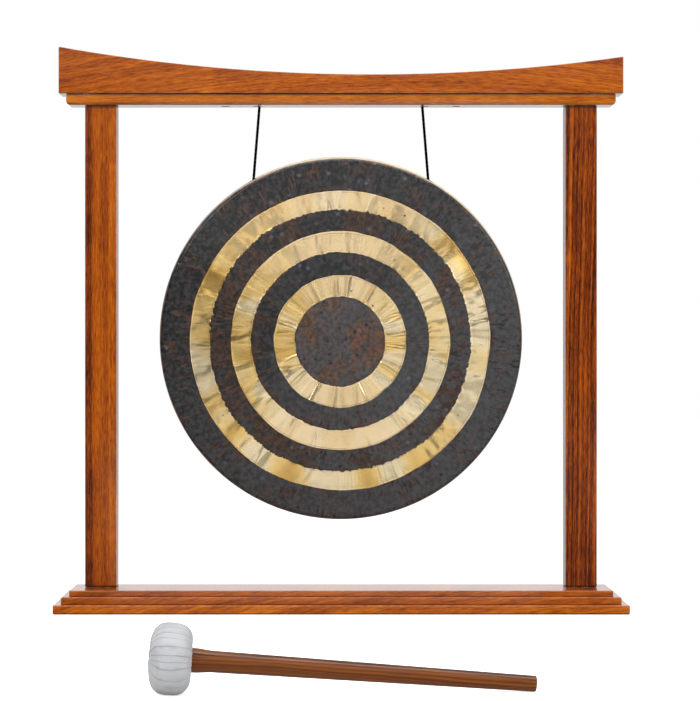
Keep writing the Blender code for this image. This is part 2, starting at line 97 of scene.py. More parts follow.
WOOD_TONES = (
    (0.00, (0.035, 0.006, 0.001, 1)),
    (0.22, (0.140, 0.022, 0.001, 1)),
    (0.50, (0.315, 0.068, 0.002, 1)),
    (0.85, (0.520, 0.150, 0.005, 1)),
)
# The colour of painted shade in the wood's corners and joints.
PAINTED_SHADE_COLOUR = (0.012, 0.004, 0.001, 1)
SAME_POINT = 1e-6
SAME_PLANE = math.radians(0.05)
SHARP_EDGE = math.radians(50)
ZONE_BLUR = 0.0015


def new_finish(name):
    """An empty material with its shader, ready for nodes."""
    finish = bpy.data.materials.new(name)
    finish.use_nodes = True
    return finish, finish.node_tree, finish.node_tree.nodes["Principled BSDF"]


def tree_of(*values):
    """The node tree that the first socket among the values belongs to."""
    return next(value.id_data for value in values if isinstance(value, bpy.types.NodeSocket))


def fill(node, sockets):
    """Give sockets of a node a value each, or the output of another node."""
    for name, value in sockets.items():
        if isinstance(value, bpy.types.NodeSocket):
            node.id_data.links.new(value, node.inputs[name])
        else:
            node.inputs[name].default_value = value


def put(tree, kind, sockets=None, **settings):
    """Add a node with its settings and fill its sockets."""
    node = tree.nodes.new(kind)
    for name, value in settings.items():
        setattr(node, name, value)
    fill(node, sockets or {})
    return node


def calc(operation, *values):
    """The result of a sum on numbers."""
    sockets = dict(enumerate(values))
    return put(tree_of(*values), "ShaderNodeMath", sockets, operation=operation).outputs[0]


def plus(first, second):
    return calc("ADD", first, second)


def minus(first, second):
    return calc("SUBTRACT", first, second)


def times(first, second):
    return calc("MULTIPLY", first, second)


def times_plus(first, second, third):
    return calc("MULTIPLY_ADD", first, second, third)


def off(value, middle):
    """How far a value is off its middle, either way."""
    return calc("ABSOLUTE", minus(value, middle))


def swayed(value, noise, amount):
    """A value moved up and down by a noise."""
    return times_plus(minus(noise, 0.5), amount, value)


def vector_calc(operation, *values):
    """The result of a sum on vectors."""
    sockets = dict(enumerate(values))
    node = put(tree_of(*values), "ShaderNodeVectorMath", sockets, operation=operation)
    return node.outputs["Value" if operation in ("LENGTH", "DOT_PRODUCT") else "Vector"]


def stretched(vector, factors):
    """A vector multiplied by one factor along each axis."""
    return vector_calc("MULTIPLY", vector, factors)


def parts_of(vector):
    """The three parts of a vector, by the letters of their axes."""
    return put(tree_of(vector), "ShaderNodeSeparateXYZ", {"Vector": vector}).outputs


def vector_of(**parts):
    """A vector with the given parts, and 0 along the other axes."""
    return put(tree_of(*parts.values()), "ShaderNodeCombineXYZ", parts).outputs["Vector"]


def own_place(tree):
    """Each point's place in its piece."""
    return put(tree, "ShaderNodeTexCoord").outputs["Object"]


def grain(place, scale, detail=3.0, roughness=0.5, seed=0.0):
    """Soft noise between 0 and 1."""
    sockets = {
        "Vector": place, "Scale": scale, "Detail": detail, "Roughness": roughness, "W": seed
    }
    node = put(tree_of(place), "ShaderNodeTexNoise", sockets, noise_dimensions="4D")
    return node.outputs["Fac"]


def figure(place, factors, detail=3.0, roughness=0.5, seed=0.0):
    """Soft noise with its own number of grains in a metre along each axis."""
    return grain(stretched(place, factors), 1.0, detail, roughness, seed)


def banded(distance, scale, detail=2.0):
    """Bands of uneven width along a distance."""
    sockets = {"W": distance, "Scale": scale, "Detail": detail}
    node = put(tree_of(distance), "ShaderNodeTexNoise", sockets, noise_dimensions="1D")
    return node.outputs["Fac"]


def between(value, low, high, to_low=0.0, to_high=1.0):
    """The value stretched from one range to another with soft ends."""
    sockets = {
        "Value": value, "From Min": low, "From Max": high, "To Min": to_low, "To Max": to_high
    }
    node = put(tree_of(value), "ShaderNodeMapRange", sockets, interpolation_type="SMOOTHSTEP")
    return node.outputs["Result"]


def cells(place, scale, **settings):
    """A pattern of cells: its node, and a number that each cell draws for itself."""
    node = put(
        tree_of(place), "ShaderNodeTexVoronoi", {"Vector": place, "Scale": scale}, **settings
    )
    return node, parts_of(node.outputs["Color"])["X"]


def toned(value, tones):
    """A number turned into a colour by a list of places and colours."""
    node = put(tree_of(value), "ShaderNodeValToRGB", {"Fac": value})
    node.color_ramp.elements.remove(node.color_ramp.elements[1])
    for position, colour in tones:
        stop = node.color_ramp.elements.new(position)
        stop.color = colour
    node.color_ramp.elements.remove(node.color_ramp.elements[0])
    return node.outputs["Color"]


def bump(height, strength, distance, normal=None):
    """A normal pushed about by a height, on top of another one."""
    sockets = {"Height": height, "Strength": strength, "Distance": distance}
    if normal:
        sockets["Normal"] = normal
    return put(tree_of(height), "ShaderNodeBump", sockets).outputs["Normal"]


def mixed(data_type, kind, share, first, second):
    """One value fading into another of its kind, which is Float or Color."""
    node = put(tree_of(share, first, second), "ShaderNodeMix", data_type=data_type)
    numbers = {socket.identifier: number for number, socket in enumerate(node.inputs)}
    values = {"Factor_Float": share, f"A_{kind}": first, f"B_{kind}": second}
    fill(node, {numbers[name]: value for name, value in values.items()})
    return next(socket for socket in node.outputs if socket.identifier == f"Result_{kind}")


def tint(share, first, second):
    """One colour fading into another."""
    return mixed("RGBA", "Color", share, first, second)


def lacquer(shader, roughness, weight):
    """A clear gloss coat, which fills the wood below it, so that only the coat shines."""
    fill(shader, {"Roughness": 0.5, "Specular IOR Level": 0.05})
    fill(shader, {"Coat Weight": weight, "Coat Roughness": roughness, "Coat IOR": 1.5})


def rosewood(
    name,
    shift,
    heart,
    run,
    rings,
    tone,
    bend=0.010,
    season=0.45,
    veins=0.0,
    coat=1.0,
    turn=(0, 0, 0),
    dark_zone=None,
    painted_shade_edges=(),
):
    """Rosewood with its grain along local X after a turn. Shift is where in the plank the piece
    is sawn. Heart is the place of the log's middle across the grain, and run is how the rings
    drift along it, straight and curved. Rings is their number in a metre, bend how far they
    wander, tone how light the piece is, season how strong the rings are and veins its black
    lines. A dark zone lies between two distances from the heart. Painted shade edges are
    heights at which the colour is darkened as painted shade, where the piece meets another
    piece or the floor, each with its reach and strength."""
    finish, tree, shader = new_finish(name)
    sight = own_place(tree)
    laid = put(tree, "ShaderNodeMapping", {"Vector": sight, "Rotation": turn, "Location": shift})
    place = laid.outputs["Vector"]

    swirl = {"Vector": stretched(place, (5, 16, 16)), "Scale": 1.0, "Detail": 2.0}
    waves = put(tree, "ShaderNodeTexNoise", swirl)
    drift = vector_calc("SUBTRACT", waves.outputs["Color"], (0.5, 0.5, 0.5))
    bent = vector_calc("ADD", place, stretched(drift, (0.0, bend, bend)))
    across = stretched(vector_calc("SUBTRACT", bent, (0, *heart)), (0, 1, 1))
    along = parts_of(place)["X"]
    slant, crook = run
    slope = times_plus(along, crook, slant)
    distance = times_plus(along, slope, vector_calc("LENGTH", across))

    grown = vector_of(X=along, Y=distance)
    ring = banded(distance, rings, 2.0)
    fibre = figure(grown, (80, 1300, 0), 3.0, 0.6)
    lines = figure(grown, (7, 400, 0), 2.0, 0.5, 7.0)
    flame = figure(bent, (18, 34, 34), 3.0, 0.5, 3.0)
    value = swayed(tone, ring, season)
    value = swayed(value, fibre, 1.15)
    value = swayed(value, lines, 0.50)
    value = swayed(value, flame, 0.50)
    line = off(banded(distance, 0.55 * rings, 1.0), 0.5)
    vein = times(between(line, 0.030, 0.004), between(flame, 0.40, 0.60))
    value = times_plus(vein, -veins, value)
    if dark_zone:
        zone_start, zone_end = dark_zone
        rise = between(distance, zone_start - ZONE_BLUR, zone_start + ZONE_BLUR)
        fall = between(distance, zone_end + ZONE_BLUR, zone_end - ZONE_BLUR)
        value = times_plus(times(rise, fall), -0.28, value)
    pores = put(
        tree, "ShaderNodeTexVoronoi", {"Vector": stretched(bent, (120, 1000, 1000)), "Scale": 1.0}
    ).outputs["Distance"]
    pore = between(pores, 0.30, 0.14)
    value = times_plus(pore, -0.16, value)
    colour = toned(value, WOOD_TONES)
    height = parts_of(sight)["Z"]
    # Painted shade: the colour darkens towards each of these heights, where the piece meets
    # another piece or the floor.
    for edge, reach, strength in painted_shade_edges:
        gathered = between(off(height, edge), reach, 0.2 * reach, 0.0, strength)
        colour = tint(gathered, colour, PAINTED_SHADE_COLOUR)

    pored = bump(pore, 0.25, -0.0001)
    orange_peel = bump(grain(place, 95.0, 1.0), 0.10, 0.0006)
    fill(shader, {"Base Color": colour, "Normal": pored, "Coat Normal": orange_peel})
    lacquer(shader, 0.09, coat)
    return finish


def finish_wood(node_name, mesh, shape, finish):
    """Turn a modelled shape into a wooden piece whose eased edges shade round."""
    bmesh.ops.triangulate(shape, faces=[face for face in shape.faces if len(face.verts) > 4])
    shape.to_mesh(mesh)
    shape.free()
    mesh.materials.clear()
    mesh.materials.append(finish)
    mesh.shade_smooth()
    mesh.set_sharp_from_angle(angle=SHARP_EDGE)
    piece = placed(f"{node_name}_wood", mesh)
    even = piece.modifiers.new("even_shading", "WEIGHTED_NORMAL")
    even.keep_sharp = True
    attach(piece, "stand")
    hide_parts(node_name)


def planed(node_name, finish):
    """A wooden piece with its CAD solid's shape, its flat faces joined."""
    mesh = cad_nodes[node_name].data.copy()
    shape = bmesh.new()
    shape.from_mesh(mesh)
    bmesh.ops.remove_doubles(shape, verts=shape.verts, dist=SAME_POINT)
    bmesh.ops.dissolve_limit(shape, angle_limit=SAME_PLANE, verts=shape.verts, edges=shape.edges)
    finish_wood(node_name, mesh, shape, finish)


# The base
# Three boards glued on each other, each a step smaller all round than the one below. Their
# upper edges are eased with a plane, and the lowest board's lower edges are rounded too.

NEARLY = 1e-5
BOARD_EASE = 0.0010
BOARD_FOOT_ROUNDING = 0.0018
BOARD_HALF_SIZES = ((0.27715, 0.0516), (0.26985, 0.0443), (0.26255, 0.0370))
BOARD_HEIGHTS = ((0.0, 0.0089), (0.0089, 0.0161), (0.0161, 0.0219))
# Painted shade along the foot of each board, where it stands on the floor or on the board below:
# reach and strength.
BOARD_PAINTED_SHADE_LINES = ((0.0020, 0.95), (0.0012, 0.55), (0.0012, 0.45))
BOARD_WOODS = (
    dict(shift=(0.3, 0.11, 0.02), heart=(0.26, -0.15), run=(-0.18, 0.10), rings=150, tone=0.51),
    dict(shift=(1.1, 0.31, 0.07), heart=(0.26, -0.15), run=(-0.40, 0.10), rings=170, tone=0.48),
    dict(shift=(2.3, 0.52, 0.03), heart=(0.50, -0.12), run=(-0.60, 0.10), rings=150, tone=0.49),
)


def board(node_name, half_size, heights, foot, finish):
    """A board whose glued faces touch, with eased upper edges."""
    mesh = bpy.data.meshes.new(f"{node_name}_wood")
    shape = bmesh.new()
    bmesh.ops.create_cube(shape, size=1.0)
    length, width = 2 * half_size[0], 2 * half_size[1]
    bottom, top = heights
    place = Matrix.Translation((0, 0, (bottom + top) / 2)) @ Matrix.Diagonal(
        (length, width, top - bottom, 1)
    )
    shape.transform(place)
    upper = [
        edge for edge in shape.edges if min(point.co.z for point in edge.verts) > bottom + NEARLY
    ]
    upright = [
        edge for edge in shape.edges if abs(edge.verts[0].co.z - edge.verts[1].co.z) > NEARLY
    ]
    bmesh.ops.bevel(
        shape, geom=upper + upright, offset=BOARD_EASE, segments=3, profile=0.5, affect="EDGES"
    )
    if foot:
        lower = [
            edge
            for edge in shape.edges
            if max(point.co.z for point in edge.verts) < bottom + NEARLY
            and len(edge.link_faces) == 2
            and min(abs(face.normal.z) for face in edge.link_faces) < 0.5
        ]
        bmesh.ops.bevel(shape, geom=lower, offset=foot, segments=5, profile=0.5, affect="EDGES")
    finish_wood(node_name, mesh, shape, finish)


for number, level in enumerate(("bottom", "middle", "top")):
    finish = rosewood(
        f"wood_base_{level}",
        painted_shade_edges=[(BOARD_HEIGHTS[number][0], *BOARD_PAINTED_SHADE_LINES[number])],
        **BOARD_WOODS[number],
    )
    foot = BOARD_FOOT_ROUNDING if level == "bottom" else 0
    board(f"base_board_{level}", BOARD_HALF_SIZES[number], BOARD_HEIGHTS[number], foot, finish)


# The base screws
# Four zinc-plated countersunk screws go up through the three boards, one behind the other
# under each post.


def zinc_plate():
    finish, tree, shader = new_finish("zinc_plate")
    sight = own_place(tree)
    spangle = grain(sight, 900.0, 3.0)
    colour = tint(spangle, (0.50, 0.50, 0.49, 1), (0.68, 0.68, 0.70, 1))
    gloss = between(spangle, 0.3, 0.7, 0.24, 0.42)
    fill(shader, {"Base Color": colour, "Roughness": gloss, "Metallic": 1.0})
    return finish


def dress(name_start, finish):
    """Give the CAD nodes whose names start so, and which keep their own shapes, their finish."""
    for node_name in cad_nodes:
        if node_name.startswith(name_start):
            cad_nodes[node_name].data.materials.clear()
            cad_nodes[node_name].data.materials.append(finish)


dress("base_screw", zinc_plate())


# The posts
# Two square posts, sawn from another plank than the base, with their grain upright.

UPRIGHT = (0, math.radians(90), 0)
POST_TOP = 0.4935
# Painted shade at each post's foot on the base and at its top under the rail: height, reach and
# strength.
POST_PAINTED_SHADE_ENDS = [(BOARD_HEIGHTS[-1][1], 0.0030, 0.75), (POST_TOP, 0.0040, 0.80)]
post_left = rosewood(
    "wood_post_left",
    shift=(0.4, 0, 0),
    heart=(0.02, 0.36),
    run=(0.002, 0),
    rings=85,
    tone=0.43,
    bend=0.003,
    season=0.35,
    veins=0.1,
    coat=0.55,
    turn=UPRIGHT,
    dark_zone=(0.108, 0.1195),
    painted_shade_edges=POST_PAINTED_SHADE_ENDS,
)
planed("post_left", post_left)
post_right = rosewood(
    "wood_post_right",
    shift=(1.7, 0, 0),
    heart=(0.05, -0.31),
    run=(0.014, 0),
    rings=330,
    tone=0.23,
    bend=0.006,
    season=0.75,
    veins=0.06,
    coat=0.55,
    turn=UPRIGHT,
    painted_shade_edges=POST_PAINTED_SHADE_ENDS,
)
planed("post_right", post_right)


# The rail and the beam
# The rail lies on the posts with its lower corners rounded. The beam on it is sawn from a
# wide plank to one long hollow, so its rings run out through the curve as long dark lines.

RAIL_BOTTOM = 0.4939
RAIL_TOP = 0.50465
# Painted shade darkens the rail along its lower edge over the posts and in the joint under the
# beam.
rail = rosewood(
    "wood_rail",
    shift=(0.9, 0.23, -0.41),
    heart=(0.02, -0.08),
    run=(0.030, -0.02),
    rings=200,
    tone=0.69,
    painted_shade_edges=[(RAIL_BOTTOM, 0.0040, 0.50), (RAIL_TOP, 0.0005, 0.60)],
)
planed("rail", rail)
# Painted shade darkens the beam along its joint with the rail.
beam = rosewood(
    "wood_beam",
    shift=(0.0, 0.37, -0.49),
    heart=(0.30, -0.10),
    run=(-0.035, 0.287),
    rings=130,
    tone=0.46,
    bend=0.006,
    season=0.40,
    veins=0.22,
    painted_shade_edges=[(RAIL_TOP, 0.0011, 0.85)],
)
planed("beam", beam)


# The dowels
# Four turned beech dowels join each post through the rail to the beam.


def bare_beech():
    finish, tree, shader = new_finish("bare_beech")
    sight = own_place(tree)
    flecks = figure(sight, (900, 900, 160), 3.0)
    colour = tint(between(flecks, 0.35, 0.7), (0.62, 0.43, 0.27, 1), (0.44, 0.27, 0.15, 1))
    fill(shader, {"Base Color": colour, "Roughness": 0.6})
    return finish


beech = bare_beech()
dress("top_dowel", beech)
dress("mallet_core", beech)


# The hanging cord
# One length of black braided nylon, 2.4 mm thick. It is knotted inside the gong's rim at both
# ends, goes up through the rail and lies in a groove on top of it, under the beam.

CORD_DIAMETER = 0.0024
CORD_POINT_SPACING = 2.5 * CORD_DIAMETER
BRAID_FULLNESS = 1.13
STRAND_ROUTE = (
    (0.08015, 0.0155, 0.4934),
    (0.08171, 0.0155, 0.4740),
    (0.08340, 0.0155, 0.4530),
    (0.08509, 0.0155, 0.4320),
    (0.08627, 0.0155, 0.41726),
)
BRIDGE_ROUTE = (
    (0.08010, 0.0155, 0.4939),
    (0.07985, 0.0155, 0.4963),
    (0.07930, 0.0155, 0.4984),
    (0.07800, 0.0155, 0.5004),
    (0.07600, 0.0155, 0.5017),
    (0.07340, 0.0155, 0.50215),
    (0.06900, 0.0155, 0.5022),
    (0.03500, 0.0155, 0.5022),
    (0.00000, 0.0155, 0.5022),
)
KNOT_MIDDLE = (0.08652, 0.0155, 0.41406)
KNOT_TURNS = 2.25
KNOT_LENGTH = 0.0036
KNOT_RADIUS = 0.0019
KNOT_CORD = 0.0017
KNOT_COIL_SHARE = 0.52
KNOT_CORE_START = 0.0004
KNOT_CORE_SHARE = 0.62
KNOT_CORE_RADIUS = 0.00105


def new_tree(name, sizes):
    """A geometry tree with a named input for each size, and its two end nodes."""
    tree = bpy.data.node_groups.new(name, "GeometryNodeTree")
    tree.interface.new_socket("Geometry", in_out="INPUT", socket_type="NodeSocketGeometry")
    for size, value in sizes.items():
        socket = tree.interface.new_socket(size, in_out="INPUT", socket_type="NodeSocketFloat")
        socket.default_value = value
    tree.interface.new_socket("Geometry", in_out="OUTPUT", socket_type="NodeSocketGeometry")
    return tree, tree.nodes.new("NodeGroupInput"), tree.nodes.new("NodeGroupOutput")


def close_tree(tree, geometry, finish, last):
    """End a tree with real geometry in its finish."""
    real = put(tree, "GeometryNodeRealizeInstances", {"Geometry": geometry})
    smooth = put(tree, "GeometryNodeSetShadeSmooth", {"Geometry": real.outputs["Geometry"]})
    dressed = put(
        tree,
        "GeometryNodeSetMaterial",
        {"Geometry": smooth.outputs["Geometry"], "Material": finish},
    )
    tree.links.new(dressed.outputs["Geometry"], last.inputs["Geometry"])


def worked(obj, tree, sizes, name, body):
    """Run a tree on an object and keep what it makes as a plain mesh piece on its body."""
    modifier = obj.modifiers.new(tree.name, "NODES")
    modifier.node_group = tree
    for item in tree.interface.items_tree:
        if item.in_out == "INPUT" and item.name in sizes:
            modifier[item.identifier] = sizes[item.name]
    bpy.context.view_layer.update()
    graph = bpy.context.evaluated_depsgraph_get()
    mesh = bpy.data.meshes.new_from_object(
        obj.evaluated_get(graph), preserve_all_data_layers=True, depsgraph=graph
    )
    bpy.data.objects.remove(obj)
    mesh.name = name
    piece = placed(name, mesh)
    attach(piece, body)
    return piece


def black_nylon():
    finish, tree, shader = new_finish("black_nylon_braid")
    sight = own_place(tree)
    fluff = grain(sight, 2600.0, 2.0)
    colour = tint(fluff, (0.0004, 0.0004, 0.0005, 1), (0.0015, 0.0015, 0.0018, 1))
    fill(shader, {"Base Color": colour, "Normal": bump(fluff, 0.4, 0.0001)})
    fill(shader, {"Roughness": 0.9, "Specular IOR Level": 0.02})
    return finish


def captured(tree, curve, name, measure):
    """Keeps at each point of a curve how far along it the point lies."""
    node = put(tree, "GeometryNodeCaptureAttribute", {"Geometry": curve}, domain="POINT")
    node.capture_items.new("FLOAT", name)
    fill(node, {name: put(tree, "GeometryNodeSplineParameter").outputs[measure]})
    return node


def braid_tree():
    """Sweeps a line into a round braid: two sets of yarns wind round it in opposite ways."""
    sizes = {"Radius": CORD_DIAMETER / 2, "Yarns": 6.0, "Pitch": 0.0042, "Relief": 0.0001}
    tree, start, last = new_tree("braid", sizes)
    fine = put(
        tree,
        "GeometryNodeResampleCurve",
        {"Curve": start.outputs["Geometry"], "Length": 0.0003},
        mode="LENGTH",
    )
    line = captured(tree, fine.outputs["Curve"], "Run", "Length")
    circle = put(
        tree,
        "GeometryNodeCurvePrimitiveCircle",
        {"Resolution": 28, "Radius": start.outputs["Radius"]},
        mode="RADIUS",
    )
    ring = captured(tree, circle.outputs["Curve"], "Round", "Factor")
    tube = put(
        tree,
        "GeometryNodeCurveToMesh",
        {
            "Curve": line.outputs["Geometry"],
            "Profile Curve": ring.outputs["Geometry"],
            "Fill Caps": True,
        },
    )
    turns = times(ring.outputs["Round"], start.outputs["Yarns"])
    steps = calc("DIVIDE", line.outputs["Run"], start.outputs["Pitch"])
    one_way = calc("SINE", times(plus(turns, steps), math.pi))
    other_way = calc("SINE", times(minus(turns, steps), math.pi))
    crossing = calc("ABSOLUTE", times(one_way, other_way))
    valley = minus(calc("SQRT", crossing), 1.0)
    depth = times(valley, start.outputs["Relief"])
    normal = put(tree, "GeometryNodeInputNormal").outputs["Normal"]
    shift = put(tree, "ShaderNodeVectorMath", {0: normal, "Scale": depth}, operation="SCALE")
    pressed = put(
        tree,
        "GeometryNodeSetPosition",
        {"Geometry": tube.outputs["Mesh"], "Offset": shift.outputs["Vector"]},
    )
    close_tree(tree, pressed.outputs["Geometry"], nylon, last)
    return tree


def smooth_route(points, spacing):
    """Points along a smooth curve through the route, about one spacing apart."""
    ends = [2 * Vector(points[0]) - Vector(points[1]), 2 * Vector(points[-1]) - Vector(points[-2])]
    chain = [ends[0]] + [Vector(point) for point in points] + [ends[1]]
    route = [chain[1]]
    for before, start, end, after in zip(chain, chain[1:], chain[2:], chain[3:]):
        pieces = max(1, round((end - start).length / spacing))
        for step in range(1, pieces + 1):
            t = step / pieces
            steady = 2 * start + (end - before) * t
            curved = (2 * before - 5 * start + 4 * end - after) * t**2
            twisted = (3 * start - 3 * end + after - before) * t**3
            route.append(0.5 * (steady + curved + twisted))
    return route


def braided(name, points, body, sizes):
    """A braided cord piece along a list of points."""
    line = bpy.data.curves.new(name, "CURVE")
    line.dimensions = "3D"
    spline = line.splines.new("POLY")
    spline.points.add(len(points) - 1)
    for point, place in zip(spline.points, points):
        point.co = (*place, 1.0)
    obj = placed(f"{name}_line", line)
    return worked(obj, braid, sizes, name, body)


def knot_points(middle, down):
    """The cord's end wound back on itself round its own standing part."""
    side = Vector((0, 1, 0))
    front = down.cross(side)
    points = []
    steps = int(KNOT_TURNS * 16)
    for step in range(steps + 1):
        share = step / steps
        angle = 2 * math.pi * KNOT_TURNS * share
        out = KNOT_RADIUS * (math.cos(angle) * front + math.sin(angle) * side)
        points.append(middle + down * KNOT_LENGTH * (0.5 - share) * KNOT_COIL_SHARE + out)
    return points


nylon = black_nylon()
braid = braid_tree()
mirrored_bridge = [(-x, y, z) for x, y, z in BRIDGE_ROUTE[:-1]]
bridge_route = smooth_route(mirrored_bridge + list(reversed(BRIDGE_ROUTE)), CORD_POINT_SPACING)
bridge = braided("cord_under_beam", bridge_route, "stand", {})
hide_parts("hanger_cord_bridge")
for side_name, side in (("left", -1), ("right", 1)):
    strand_route = smooth_route([(side * x, y, z) for x, y, z in STRAND_ROUTE], CORD_POINT_SPACING)
    strand = braided(
        f"cord_strand_{side_name}",
        strand_route,
        "hangers",
        {"Radius": BRAID_FULLNESS * CORD_DIAMETER / 2},
    )
    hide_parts(f"hanger_cord_{side_name}")
    down = (strand_route[-1] - strand_route[0]).normalized()
    knot_middle = Vector((side * KNOT_MIDDLE[0], *KNOT_MIDDLE[1:]))
    windings = knot_points(knot_middle, down)
    core = [
        strand_route[-1] + down * KNOT_CORE_START,
        knot_middle + down * KNOT_LENGTH * KNOT_CORE_SHARE,
    ]
    knot = braided(f"cord_knot_{side_name}", windings, "hangers", {"Radius": KNOT_CORD / 2})
    stub_size = {"Radius": KNOT_CORE_RADIUS}
    stub = braided(f"cord_knot_core_{side_name}", core, "hangers", stub_size)
    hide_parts(f"rim_knot_{side_name}")
    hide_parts(f"rim_knot_{side_name}")


# The gong
# Cast as a thick plate and beaten out hot, with its rim turned back. Its fire skin, a blue-grey
# to rusty oxide, is left on, and three rings of it are turned off the face on a wheel.

GONG_RADIUS = 0.1786
GONG_SHEET = 0.0015
GONG_RIM_SHEET = 0.0023
GONG_RIM_FLARE = 0.0010
GONG_DOME = 0.008
GONG_RIM_DEPTH = 0.022
GONG_SHOULDER = 0.004
GONG_LIP = 0.0004
GONG_PLACE = (0.0, 0.015578, 0.264)
GONG_LEAN = math.radians(4.8323)
FACE_ROW = 0.0014
BACK_ROW = 0.0035
GONG_STEPS = 400
RINGS = ((0.0443, 0.0652), (0.0877, 0.1076), (0.1287, 0.1476))
RING_CENTRE = (-0.0008, -0.0010, 0.0)
RING_LINE_INSET = 0.0013
# From dark to pale brass, for the painted light and shade of the beaten facets.
BRASS_TONES = (
    (0.00, (0.50, 0.27, 0.06, 1)),
    (0.35, (0.83, 0.54, 0.17, 1)),
    (0.62, (0.99, 0.71, 0.30, 1)),
    (0.90, (1.00, 0.83, 0.53, 1)),
)
RIM_TURN = 0.1777
RIM_HOLE_DIAMETER = 0.005
RIM_HOLE_ANGLE = math.radians(29.1)
RIM_HOLE_BACK = 0.013


def mesh_of(name, shape):
    """A mesh made from a modelled shape, which is then let go."""
    mesh = bpy.data.meshes.new(name)
    shape.to_mesh(mesh)
    shape.free()
    return mesh


def turned_mesh(name, rows, steps, front_rows=0):
    """A closed turned solid round local Z. Its rows of (radius, height) start and end on the
    axis, and the first of them are its front. Each point keeps its place before bending, and
    each face a map of its surface."""
    shape = bmesh.new()
    turned_place = shape.verts.layers.float_vector.new("turned_place")
    front = shape.verts.layers.float.new("front")
    surface = shape.loops.layers.uv.new("surface")
    circles = []
    run = [0.0]
    for (r1, z1), (r2, z2) in zip(rows, rows[1:]):
        run.append(run[-1] + math.hypot(r2 - r1, z2 - z1))
    widest = max(radius for radius, height in rows)
    for number, (radius, height) in enumerate(rows):
        circle = []
        for step in range(steps if radius > 0 else 1):
            angle = 2 * math.pi * step / steps
            point = shape.verts.new((radius * math.cos(angle), radius * math.sin(angle), height))
            point[turned_place] = point.co
            point[front] = 1.0 if number < front_rows else 0.0
            circle.append(point)
        circles.append(circle)
    for number, (upper, lower) in enumerate(zip(circles, circles[1:])):
        for step in range(steps):
            corners = []
            for circle, row, corner_step in (
                (upper, number, step),
                (lower, number + 1, step),
                (lower, number + 1, step + 1),
                (upper, number, step + 1),
            ):
                point = circle[corner_step % steps] if len(circle) > 1 else circle[0]
                if point not in [corner[0] for corner in corners]:
                    corners.append((point, (corner_step * 2 * math.pi / steps * widest, run[row])))
            face = shape.faces.new([corner[0] for corner in corners])
            face.smooth = True
            for loop, (point, place) in zip(face.loops, corners):
                loop[surface].uv = place
    return mesh_of(name, shape)


def dome_height(radius):
    return GONG_DOME * (1 - (radius / (GONG_RADIUS - GONG_SHOULDER)) ** 2)


def shoulder(radius, pieces):
    """The rounded turn from the face to the rim."""
    centre = GONG_RADIUS - GONG_SHOULDER
    for step in range(pieces + 1):
        angle = math.radians(90) * step / pieces
        yield (centre + radius * math.sin(angle), radius * math.cos(angle) - GONG_SHOULDER)


def gong_rows():
    """The gong's profile from the middle of its face over the rim to the middle of its back.
    The beaten rim is thicker than the face, and flares a little towards its back edge."""
    flat = GONG_RADIUS - GONG_SHOULDER
    face_count = round(flat / FACE_ROW)
    rows = [(flat * n / face_count, dome_height(flat * n / face_count)) for n in range(face_count)]
    rows += list(shoulder(GONG_SHOULDER, 7))
    front_count = len(rows)
    inner = GONG_RADIUS - GONG_RIM_SHEET
    rim_count = 7
    top = -GONG_SHOULDER
    bottom = GONG_LIP - GONG_RIM_DEPTH
    shares = [n / rim_count for n in range(rim_count + 1)]
    rows += [
        (GONG_RADIUS + GONG_RIM_FLARE * share, top + (bottom - top) * share)
        for share in shares[1:]
    ]
    rows += [
        (GONG_RADIUS + GONG_RIM_FLARE - GONG_LIP, -GONG_RIM_DEPTH),
        (inner + GONG_RIM_FLARE + GONG_LIP, -GONG_RIM_DEPTH),
    ]
    rows += [
        (inner + GONG_RIM_FLARE * (1 - share), bottom + (top - bottom) * share)
        for share in shares[:-1]
    ]
    fillet = GONG_SHOULDER - GONG_RIM_SHEET
    for step in range(1, 6):
        angle = math.radians(90) * (1 - step / 5)
        lift = GONG_SHOULDER - GONG_SHEET - fillet
        rows.append(
            (flat + fillet * math.sin(angle), fillet * math.cos(angle) + lift - GONG_SHOULDER)
        )
    back_count = round(flat / BACK_ROW)
    for n in range(1, back_count + 1):
        radius = flat * (1 - n / back_count)
        rows.append((radius, dome_height(radius) - GONG_SHEET))
    return rows, front_count


def about_axis(place):
    """A place without its height, its distance from the axis and its direction seen from there."""
    flat = stretched(place, (1, 1, 0))
    return flat, vector_calc("LENGTH", flat), vector_calc("NORMALIZE", flat)


def stored(tree, name, output="Vector"):
    """What a mesh keeps at each point under a name, for a material."""
    return put(tree, "ShaderNodeAttribute", attribute_name=name).outputs[output]


def ring_share(radius, direction):
    """How much of a place lies in a turned ring. The wheel leaves each ring's outer edge clean,
    and tears the skin along its inner edge where the hammered sheet dips away from the tool."""
    total = None
    soft = 0.00018
    torn = (0.0020, 0.0050, 0.0085)
    for number, (inner, outer) in enumerate(RINGS):
        inside = None
        for edge, ragged, rising in ((inner, torn[number], True), (outer, 0.0012, False)):
            seed = edge * 100
            drift = grain(direction, 3.2, 1.0, 0.5, seed)
            tear = grain(direction, 26.0, 4.0, 0.75, seed + 1)
            moved = swayed(radius, drift, 0.0036)
            moved = swayed(moved, tear, ragged)
            low, high = (edge - soft, edge + soft) if rising else (edge + soft, edge - soft)
            share = between(moved, low, high)
            inside = share if inside is None else times(inside, share)
        total = inside if total is None else plus(total, inside)
    return total


def gong_places(tree):
    """Where a point of the gong lies, in each way that its finish asks for."""
    at = SimpleNamespace(place=stored(tree, "turned_place"), front=stored(tree, "front", "Fac"))
    at.flat, at.radius, at.direction = about_axis(at.place)
    sides = parts_of(at.direction)
    at.right, at.up = sides["X"], sides["Y"]
    at.polar = vector_calc("ADD", at.direction, vector_of(Z=at.radius))
    at.ring_radius = vector_calc("LENGTH", vector_calc("SUBTRACT", at.flat, RING_CENTRE))
    return at


